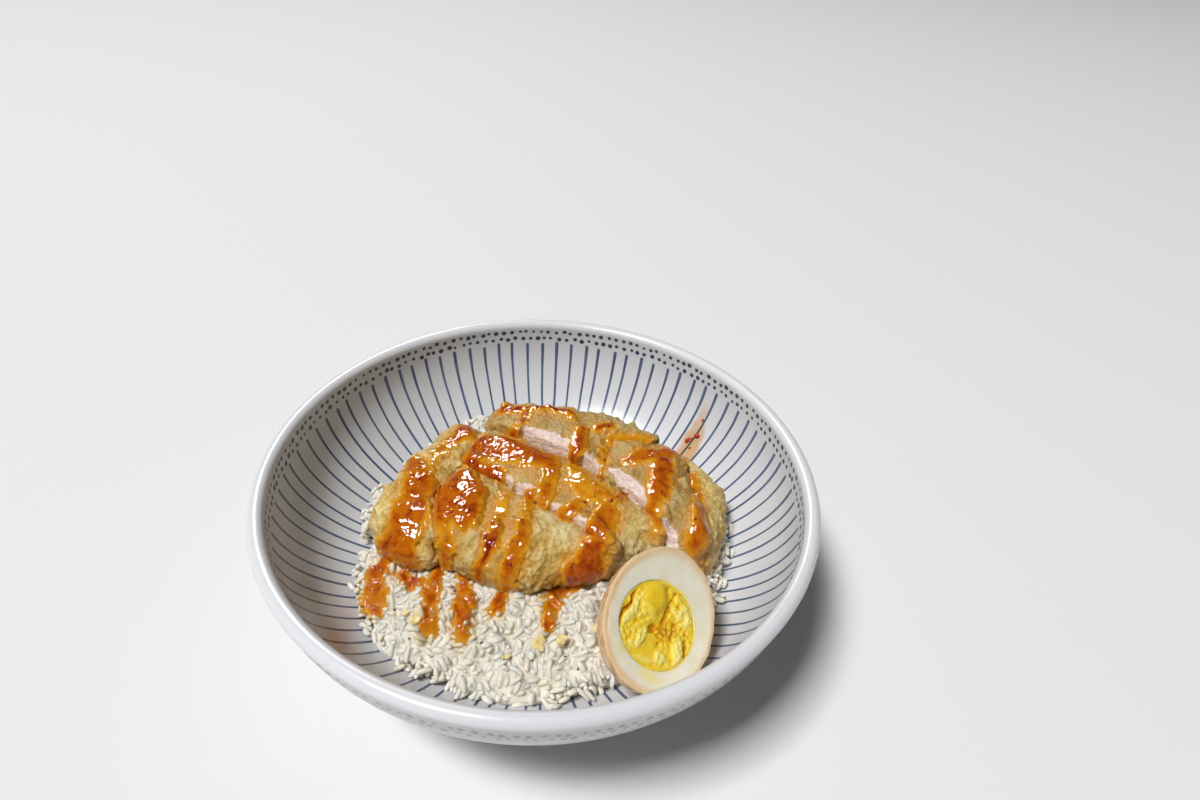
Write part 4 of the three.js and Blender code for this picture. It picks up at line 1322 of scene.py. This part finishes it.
class Settler:
    """Lets grains down one by one onto a map of heights."""

    def __init__(self, draw, ground, ceiling, target, wanted):
        self.draw = draw
        self.ground = ground
        self.ceiling = ceiling
        self.target = target
        self.cells = np.argwhere(wanted)
        self.grains = []

    def cell(self, x, y):
        return grid_cell(x, y, len(self.ground))

    def lowest_spot(self):
        """The emptiest of a few random places."""
        picks = self.cells[self.draw.integers(len(self.cells), size=GRAIN_PICKS)]
        missing = self.target[picks[:, 0], picks[:, 1]] - self.ground[picks[:, 0], picks[:, 1]]
        best = int(np.argmax(missing))
        return picks[best], float(missing[best])

    def lean_on(self, x, y, turn, half, wide):
        """Height of the grain's middle and its slope where it comes to rest.

        Seven rows of three points lie under the grain. It leans on one of the first three rows and one
        of the last three, or lies on the middle row.
        """
        along = np.linspace(-0.8, 0.8, 7) * half
        side = np.array([-0.55, 0, 0.55]) * wide
        px = x + along[:, None] * math.cos(turn) - side * math.sin(turn)
        py = y + along[:, None] * math.sin(turn) + side * math.cos(turn)
        i, j = self.cell(px, py)
        support = self.ground[i, j].max(axis=1)
        roof = self.ceiling[i, j].min(axis=1)
        left, right = along[:3, None], along[None, 4:]
        low, high = support[:3, None], support[None, 4:]
        middle = (low * right - high * left) / (right - left)
        slope = (high - low) / (right - left)
        best = np.unravel_index(np.argmax(middle), middle.shape)
        height = max(float(middle[best]), float(support[3]))
        return height, float(slope[best]), along, roof

    def drop(self, half, wide, thick):
        """Lets one grain down. False where it has no room or would stand out too far."""
        spot, missing = self.lowest_spot()
        if missing < thick * GRAIN_ROOM:
            return False
        x, y = (-GRID_HALF + (spot + self.draw.random(2)) * GRID_STEP).tolist()
        turn = self.draw.random() * math.pi
        height, slope, along, roof = self.lean_on(x, y, turn, half, wide)
        slope += self.draw.normal() * GRAIN_TILT
        slope = float(np.clip(slope, -GRAIN_STEEPEST, GRAIN_STEEPEST))
        height += thick * GRAIN_SINK
        if (height + slope * along + thick > roof - GRAIN_ROOF_GAP).any():
            return False
        i, j = self.cell(np.array([x]), np.array([y]))
        if height + thick > self.target[i, j][0] + GRAIN_OUT + GRAIN_OUT_MORE * self.draw.random() ** 3:
            return False
        end_radius = max(math.hypot(x + side * half * math.cos(turn), y + side * half * math.sin(turn))
                         for side in (-1, 1))
        end_height = height + abs(slope) * half
        if inner_wall(end_radius) > end_height + GRAIN_OVER_WALL * thick:
            return False
        self.fill(x, y, turn, height, slope, half, wide, thick)
        self.grains.append((x, y, height, turn, slope, half, wide, thick))
        return True

    def fill(self, x, y, turn, height, slope, half, wide, thick):
        """The ground rises where the grain lies."""
        (low_i,), (low_j,) = self.cell(np.array([x - half]), np.array([y - half]))
        (high_i,), (high_j,) = self.cell(np.array([x + half]), np.array([y + half]))
        steps_i = -GRID_HALF + (np.arange(low_i, high_i + 1) + 0.5) * GRID_STEP - x
        steps_j = -GRID_HALF + (np.arange(low_j, high_j + 1) + 0.5) * GRID_STEP - y
        along = steps_i[:, None] * math.cos(turn) + steps_j * math.sin(turn)
        across = steps_j * math.cos(turn) - steps_i[:, None] * math.sin(turn)
        inside = 1 - (along / half) ** 2 - (across / wide) ** 2
        top = height + slope * along + thick * GRAIN_FILL * np.sqrt(np.maximum(inside, 0))
        part = self.ground[low_i:high_i + 1, low_j:high_j + 1]
        np.copyto(part, np.where(inside > 0, np.maximum(part, top), part))


def grain_frames(grains, draw):
    """Rotation matrices and places of the settled grains."""
    x, y, z, turn, slope = (grains[:, column] for column in range(5))
    along = np.stack([np.cos(turn), np.sin(turn), slope], axis=1)
    along /= np.linalg.norm(along, axis=1, keepdims=True)
    side = np.stack([-np.sin(turn), np.cos(turn), np.zeros(len(grains))], axis=1)
    up = np.cross(along, side)
    roll = draw.normal(size=len(grains))[:, None] * GRAIN_ROLL
    rolled_side = side * np.cos(roll) + up * np.sin(roll)
    rolled_up = up * np.cos(roll) - side * np.sin(roll)
    return np.stack([along, rolled_side, rolled_up], axis=2), np.stack([x, y, z], axis=1)


def settle_heap(draw):
    """The settled grains, one row each, and the map of heights with them in it."""
    rice = settings("donburi_rice")
    x, y = grid_places()
    radius = np.hypot(x, y)
    angle = np.arctan2(y, x)
    wall = inner_wall(radius)
    ceiling = ceiling_map(x, y)
    reach = rice_reach(angle) + RICE_RAGGED * flat_bumps(x, y, 5, 92)
    core = np.where(radius < reach - CORE_INSET, core_height(x, y), -OPEN_SKY)
    ground = np.maximum(core, wall)
    fluffy = 2.6 * flat_bumps(x, y, 9, 93) + 2.0 * flat_bumps(x, y, 4.5, 94)
    target = np.minimum(rice_height(x, y) + fluffy, ceiling - CEILING_GAP)
    open_sky = (ceiling > OPEN_SKY / 2) & (radius < reach)
    near_open = open_sky.copy()
    grow = int(UNDER_FOOD / GRID_STEP)
    for shift in (-grow, -grow // 2, grow // 2, grow):
        near_open |= np.roll(open_sky, shift, 0) | np.roll(open_sky, shift, 1)
    wanted = near_open & (radius < reach)
    settler = Settler(draw, ground, ceiling, target, wanted)
    misses = 0
    while len(settler.grains) < rice.grain_count and misses < MOST_MISSES:
        half = rice.grain_length / MM / 2 * (GRAIN_LENGTHS[0] + GRAIN_LENGTHS[1] * draw.random())
        wide = rice.grain_width / MM / 2 * (GRAIN_WIDTHS[0] + GRAIN_WIDTHS[1] * draw.random())
        settled = settler.drop(half, wide, wide * GRAIN_THICKNESS)
        misses = 0 if settled else misses + 1
    return np.array(settler.grains), settler.ground


def drip_cover(points):
    return line_depth(points, [line for _, line in DRIPS])


def make_grains(grains, draw, look):
    """All loose grains as one mesh, each bent a little and with its own tone."""
    turns, places = grain_frames(grains, draw)
    template, groups = round_body(GRAIN_SIDES, GRAIN_RINGS, GRAIN_BLUNT)
    template = template[:, [2, 0, 1]]
    count = len(template)
    half, wide, thick = grains[:, 5:8].T
    shaped = template[None] * np.stack([half, wide, thick], axis=1)[:, None, :]
    bend = draw.normal(size=len(grains)) * GRAIN_BEND
    arc = 1 - template[:, 0] ** 2
    shaped[:, :, 1] += bend[:, None] * arc
    points = np.einsum("nij,nvj->nvi", turns, shaped) + places[:, None, :]
    points = points.reshape(-1, 3)
    offsets = (np.arange(len(grains)) * count)[:, None, None]
    groups = [(faces[None] + offsets).reshape(-1, faces.shape[1]) for faces in groups]
    tone = np.clip(draw.beta(1.5, 3, len(grains)), 0, 1)
    stain = ease(drip_cover(places), -3.5, 0.5)
    under = ease(glaze_on(places, False)[0], -2, 2) * 0.25
    stain = np.maximum(stain, under) * (0.55 + 0.45 * draw.random(len(grains)))
    values = {"tone": np.repeat(tone, count), "stain": np.repeat(stain, count)}
    mesh = make_mesh("rice_grain_shapes", points, groups, values)
    place_piece("rice_grains", mesh, look, ["rice"])


def softened(heights):
    """The map of heights, evened out with the cells round each cell."""
    for _ in range(2):
        shifts = itertools.product((-1, 0, 1), repeat=2)
        heights = sum(np.roll(heights, shift, (0, 1)) for shift in shifts) / 9
    return heights


def make_core(ground, look):
    """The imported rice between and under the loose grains. It follows the wall below."""
    surface = softened(ground) - CORE_BELOW
    turns = turns_round(CORE_SIDES)
    reach = rice_reach(turns) - CORE_INSET
    rings = []

    def floor(x, y):
        return inner_wall(np.hypot(x, y)) + CORE_CLEAR

    def top(x, y):
        return np.maximum(surface[grid_cell(x, y, len(surface))], floor(x, y) + CORE_LEAST)

    def add_rings(shares, height):
        for share in shares:
            x, y = reach * share * np.cos(turns), reach * share * np.sin(turns)
            rings.append(np.stack([x, y, height(x, y)], axis=1))

    add_rings(np.sin(np.linspace(0, math.pi / 2, CORE_FLOOR_RINGS)[1:]), floor)
    add_rings(np.linspace(1, 0, CORE_RINGS + 1)[1:-1] ** 0.8, top)
    middle = np.zeros(1)
    first = (0, 0, float(floor(middle, middle)[0]))
    last = (0, 0, float(top(middle, middle)[0]))
    points, groups = ring_body(first, rings, last)
    stain = ease(drip_cover(points), -3.5, 0.5) * 0.8
    values = {"tone": np.full(len(points), 0.5), "stain": stain}
    mesh = make_mesh("rice_core_shape", points, groups, values)
    place_piece("rice_core", mesh, look, ["rice"])


def make_rice():
    look = rice_look()
    draw = np.random.default_rng(RICE_SEED)
    grains, ground = settle_heap(draw)
    make_grains(grains, draw, look)
    make_core(ground, look)


# Small things on the food


def shown_tree(*names):
    """A search tree over pieces that are already made, in metres."""
    return search_tree([bpy.data.objects[name].data for name in names])


def below(tree, x, y):
    """Place in metres and normal of the first surface under a place, or None for both."""
    return tree.ray_cast(Vector((x * MM, y * MM, RAY_TOP * MM)), Vector((0, 0, -1)))[:2]


def drop_on(tree, x, y):
    """Place in millimetres and normal of the surface that something dropped there lands on."""
    hit, normal = below(tree, x, y)
    if hit is None:
        raise RuntimeError(f"there is nothing below {x:.1f}, {y:.1f}")
    return np.array(hit) / MM, np.array(normal)


def join_bodies(bodies):
    """Points and faces of many bodies as one."""
    points, gathered = [], {}
    start = 0
    for body_points, groups in bodies:
        points.append(body_points)
        for faces in groups:
            gathered.setdefault(faces.shape[1], []).append(faces + start)
        start += len(body_points)
    return np.concatenate(points), [np.concatenate(faces) for faces in gathered.values()]


def turn_to(normal, spin):
    """Rotation that lays flat things on a surface with that normal."""
    base = Vector(normal).to_track_quat("Z", "Y").to_matrix()
    return np.array(base @ Matrix.Rotation(spin, 3, "Z"))


def film_body(wanted, top, depth):
    """Points and faces of a closed film over the wanted cells of a grid. Top holds its upper points."""
    corner_index = np.full(top.shape[:2], -1)
    used = np.zeros(top.shape[:2], bool)
    for i, j in itertools.product((0, 1), repeat=2):
        used[i:i + wanted.shape[0], j:j + wanted.shape[1]] |= wanted
    over = top[used]
    count = len(over)
    corner_index[used] = np.arange(count)
    points = np.concatenate([over, over - (0, 0, depth)])
    cells = np.argwhere(wanted)
    ring = [corner_index[cells[:, 0] + i, cells[:, 1] + j] for i, j in ((0, 0), (1, 0), (1, 1), (0, 1))]
    faces = [np.stack(ring, axis=1), np.stack(ring[::-1], axis=1) + count]
    padded = np.pad(wanted, 1)
    for side, (i, j) in enumerate(((0, -1), (1, 0), (0, 1), (-1, 0))):
        bare = ~padded[cells[:, 0] + 1 + i, cells[:, 1] + 1 + j]
        first, second = ring[side][bare], ring[(side + 1) % 4][bare]
        faces.append(np.stack([second, first, first + count, second + count], axis=1))
    return points, [np.concatenate(faces)]


def ragged_drips(x, y):
    """How deep inside the drips with their uneven edges each place lies."""
    wander = 1.6 * flat_bumps(x, y, 4.5, 96) + flat_bumps(x, y, 2.2, 95)
    return drip_cover(flat_places(x, y)).reshape(x.shape) + wander


def make_drips():
    """Glaze that ran onto the rice: a film that follows the grains and lets some of them stand out."""
    tree = shown_tree("rice_grains", "rice_core")
    places = np.array([(x, y) for _, line in DRIPS for x, y, _ in line])
    starts, ends = places.min(axis=0) - FILM_MARGIN, places.max(axis=0) + FILM_MARGIN
    steps = [np.arange(start, end, FILM_STEP) for start, end in zip(starts, ends)]
    x, y = np.meshgrid(*steps, indexing="ij")
    cover = ragged_drips(x, y)
    heights = np.full(x.shape, np.nan)
    for i, j in np.argwhere(cover > -2):
        hit = below(tree, x[i, j], y[i, j])[0]
        if hit is not None:
            heights[i, j] = hit.z / MM
    over_rice = ~np.isnan(heights)
    heights = np.where(over_rice, heights, np.nanmean(heights))
    for _ in range(FILM_ROUNDS):
        heights = softened(heights)
    top = np.stack([x, y, heights - FILM_SINK + FILM_RISE * ease(cover, -0.6, 2.4)], axis=2)
    inside = (cover > FILM_EDGE) & over_rice
    wanted = inside[:-1, :-1] & inside[1:, :-1] & inside[:-1, 1:] & inside[1:, 1:]
    points, groups = film_body(wanted, top, FILM_DEPTH)
    tones = np.zeros(len(points))
    weights = np.full(len(points), 1e-9)
    for tone, line in DRIPS:
        pull = np.exp(np.clip(streak_cover(points[:, :2], line), -8, 6))
        tones += pull * tone
        weights += pull
    depth = np.clip(ragged_drips(points[:, 0], points[:, 1]), -1, 4)
    mesh = make_mesh("drip_shape", points, groups, {"glaze_tone": tones / weights, "glaze_cover": depth})
    place_piece("glaze_on_rice", mesh, drip_look())


def lumpy(template, size, seed, amount):
    """A ball with an uneven surface."""
    return template * size * (1 + amount * bumps(template * 1.7 + seed * 3.1, 1.0, seed))[:, None]


def make_crumbs():
    """Crumbs of batter on the rice, each of two squarish lumps."""
    tree = shown_tree("rice_grains", "rice_core")
    draw = np.random.default_rng(CRUMB_SEED)
    template, groups = round_body(20, 14)
    bodies = []
    for number, (x, y, size) in enumerate(BATTER_CRUMBS):
        place = drop_on(tree, x, y)[0]
        for part in range(2):
            block = np.sign(template) * np.abs(template) ** CRUMB_CORNERS
            shape = lumpy(block, size * (0.5 + 0.16 * draw.random()), 100 + number * 5 + part, 0.3)
            lean = (0.3 * draw.normal(), 0.3 * draw.normal(), 1)
            shape = (shape * CRUMB_SHAPE) @ turn_to(lean, draw.random() * math.tau).T
            shift = np.array([draw.normal(), draw.normal(), 0.2 * draw.normal()]) * size * 0.16
            bodies.append((shape + place + shift + (0, 0, 1.0), groups))
    points, groups = join_bodies(bodies)
    mesh = make_mesh("crumb_shapes", points, groups)
    place_piece("batter_crumbs", mesh, crumb_look())


def scatter_flakes(name, tree, places, sizes, flat, seed, look):
    """Small flakes that lie on what is below them."""
    draw = np.random.default_rng(seed)
    template, groups = round_body(8, 3)
    bodies = []
    for (x, y), size in zip(places, sizes):
        spot, normal = drop_on(tree, x, y)
        shape = lumpy(template, size / 2, int(draw.integers(1000)), 0.5)
        shape = shape * (1, 0.4 + 0.5 * draw.random(), flat)
        shape = shape @ turn_to(normal, draw.random() * math.tau).T
        bodies.append((shape + spot + normal * size * flat * 0.2, groups))
    points, groups = join_bodies(bodies)
    mesh = make_mesh(name + "_shapes", points, groups)
    place_piece(name, mesh, look)


def make_flakes():
    """Chilli flakes in the glaze, pepper on the rice, and bits of chilli on the wall."""
    draw = np.random.default_rng(FLAKE_SEED)
    slices = shown_tree(*map(slice_piece, SLICES))
    rice = shown_tree("rice_grains", "rice_core")
    glaze_places = []
    for tone, _, _, line in STREAKS:
        for start, end in zip(line, line[1:]):
            for _ in range(int(tone * 2)):
                share = draw.random()
                x, y, half = (np.array(start) + share * np.subtract(end, start)).tolist()
                x += draw.normal() * half * 0.4
                y += draw.normal() * half * 0.4
                if below(slices, x, y)[0] is not None:
                    glaze_places.append((x, y))
    sizes = 0.8 + 1.3 * draw.random(len(glaze_places)) ** 2
    chilli = speck_look("chilli_flake", tint(112, 20, 6), tint(178, 48, 12), 0.15)
    scatter_flakes("chilli_flakes", slices, glaze_places, sizes, 0.35, FLAKE_SEED + 1, chilli)
    pepper_sizes = 0.8 + 0.7 * draw.random(len(PEPPER_PLACES))
    pepper = speck_look("ground_pepper", tint(30, 24, 18), tint(92, 74, 50), 0.5)
    scatter_flakes(
        "pepper_specks", rice, PEPPER_PLACES, pepper_sizes, 0.5, FLAKE_SEED + 2, pepper)
    wall = shown_tree("glazed_bowl")
    bits = [(x, y) for x, y, _ in SMEAR_BITS]
    bit_sizes = [size for *_, size in SMEAR_BITS]
    red = speck_look("chilli_bit", tint(150, 26, 10), tint(206, 66, 20), 0.2)
    scatter_flakes("chilli_bits_on_wall", wall, bits, bit_sizes, 0.4, FLAKE_SEED + 3, red)


# Stage


def add_area(name, place, size, energy, tone, roll=0):
    """A soft rectangular light that looks at the food."""
    light = bpy.data.lights.new(name, "AREA")
    light.shape = "RECTANGLE"
    light.size, light.size_y = size[0] * MM, size[1] * MM
    light.energy = energy
    light.color = tone
    lamp = bpy.data.objects.new(name, light)
    bpy.context.scene.collection.objects.link(lamp)
    lamp.location = Vector(place) * MM
    aimed = (Vector(LIGHT_AIM) - Vector(place)).to_track_quat("-Z", "Y").to_matrix()
    lamp.rotation_euler = (aimed @ Matrix.Rotation(math.radians(roll), 3, "Z")).to_euler()
    return lamp


def make_floor(tone):
    half = FLOOR_HALF
    points = np.array([[-half, -half, 0], [half, -half, 0], [half, half, 0], [-half, half, 0]], float)
    mesh = make_mesh("floor_shape", points, [np.array([[0, 1, 2, 3]])])
    look = Look("plain_floor")
    shade = look.blend(look.noise(look.place(), 400, 1) * 0.1, tone, tint(232, 232, 232))
    mesh.materials.append(look.done(look.surface(base_color=shade, roughness=0.9)))
    floor = bpy.data.objects.new("floor", mesh)
    bpy.context.scene.collection.objects.link(floor)


def make_sky(strength):
    world = bpy.data.worlds.new("even_sky")
    world.use_nodes = True
    background = world.node_tree.nodes["Background"]
    background.inputs["Color"].default_value = (1, 1, 1, 1)
    background.inputs["Strength"].default_value = strength
    bpy.context.scene.world = world


def make_camera():
    """The camera in the place that the photo was taken from."""
    scene = bpy.context.scene
    down, roll = math.radians(CAMERA_DOWN), math.radians(CAMERA_ROLL)
    forward = Vector((0, math.cos(down), -math.sin(down)))
    right = Vector((1, 0, 0))
    up = right.cross(forward)
    rolled_right = math.cos(roll) * right + math.sin(roll) * up
    rolled_up = math.cos(roll) * up - math.sin(roll) * right
    lens = bpy.data.cameras.new("photo_camera")
    lens.lens = CAMERA_LENS
    lens.sensor_width = CAMERA_SENSOR
    camera = bpy.data.objects.new("photo_camera", lens)
    scene.collection.objects.link(camera)
    turn = Matrix((rolled_right, rolled_up, -forward)).transposed().to_4x4()
    camera.matrix_world = Matrix.Translation(Vector(CAMERA_PLACE) * MM) @ turn
    scene.camera = camera


def make_stage():
    stage = settings("donburi_stage")
    bpy.context.scene.view_settings.view_transform = "Standard"
    make_floor(stage.floor)
    make_sky(stage.sky)
    window = add_area("window_light", WINDOW_PLACE, WINDOW_SIZE, stage.window_power, WINDOW_TONE, WINDOW_ROLL)
    window.visible_diffuse = False
    add_area("high_light", HIGH_PLACE, HIGH_SIZE, stage.high_power, HIGH_TONE)
    make_camera()


# Add-on


class DONBURI_OT_stage(bpy.types.Operator):
    """Make the floor, the light and the camera"""
    bl_idname = "donburi.stage"
    bl_label = "Stage"

    def execute(self, context):
        make_stage()
        return {"FINISHED"}


class DONBURI_OT_bowl(bpy.types.Operator):
    """Make the striped glazed bowl"""
    bl_idname = "donburi.bowl"
    bl_label = "Bowl"

    def execute(self, context):
        make_bowl()
        return {"FINISHED"}


class DONBURI_OT_cutlet(bpy.types.Operator):
    """Make the cutlet's slices with crust, meat and glaze"""
    bl_idname = "donburi.cutlet"
    bl_label = "Cutlet"

    def execute(self, context):
        make_cutlet()
        return {"FINISHED"}


class DONBURI_OT_egg(bpy.types.Operator):
    """Make the egg half"""
    bl_idname = "donburi.egg"
    bl_label = "Egg half"

    def execute(self, context):
        make_egg_white()
        make_yolk()
        return {"FINISHED"}


class DONBURI_OT_rice(bpy.types.Operator):
    """Make the rice heap with its loose grains"""
    bl_idname = "donburi.rice"
    bl_label = "Rice"

    def execute(self, context):
        make_rice()
        return {"FINISHED"}


class DONBURI_OT_toppings(bpy.types.Operator):
    """Make the glaze on the rice, the crumbs and the flakes"""
    bl_idname = "donburi.toppings"
    bl_label = "Glaze drips, crumbs and flakes"

    def execute(self, context):
        make_drips()
        make_crumbs()
        make_flakes()
        return {"FINISHED"}


class DONBURI_PT_sidebar(bpy.types.Panel):
    """Lists the steps that make the bowl"""
    bl_idname = "DONBURI_PT_sidebar"
    bl_label = "Donburi"
    bl_space_type = "VIEW_3D"
    bl_region_type = "UI"
    bl_category = "Donburi"

    def draw(self, context):
        for operator in OPERATORS:
            self.layout.operator(operator.bl_idname)
        for name in GROUPS:
            group = getattr(context.scene, name)
            box = self.layout.box()
            for key in group.bl_rna.properties.keys():
                if key not in ("rna_type", "name"):
                    box.prop(group, key)


OPERATORS = (DONBURI_OT_stage, DONBURI_OT_bowl, DONBURI_OT_cutlet, DONBURI_OT_egg, DONBURI_OT_rice,
             DONBURI_OT_toppings)
GROUPS = {"donburi_bowl": DonburiBowl, "donburi_rice": DonburiRice, "donburi_cutlet": DonburiCutlet,
          "donburi_egg": DonburiEgg, "donburi_stage": DonburiStage}


def register():
    for item in (*GROUPS.values(), *OPERATORS, DONBURI_PT_sidebar):
        bpy.utils.register_class(item)
    for name, group in GROUPS.items():
        setattr(bpy.types.Scene, name, bpy.props.PointerProperty(type=group))


def unregister():
    for name in GROUPS:
        delattr(bpy.types.Scene, name)
    for item in reversed((*GROUPS.values(), *OPERATORS, DONBURI_PT_sidebar)):
        bpy.utils.unregister_class(item)


def main():
    register()
    bpy.ops.donburi.stage()
    bpy.ops.donburi.bowl()
    bpy.ops.donburi.cutlet()
    bpy.ops.donburi.egg()
    bpy.ops.donburi.rice()
    bpy.ops.donburi.toppings()


if __name__ == "__main__":
    main()
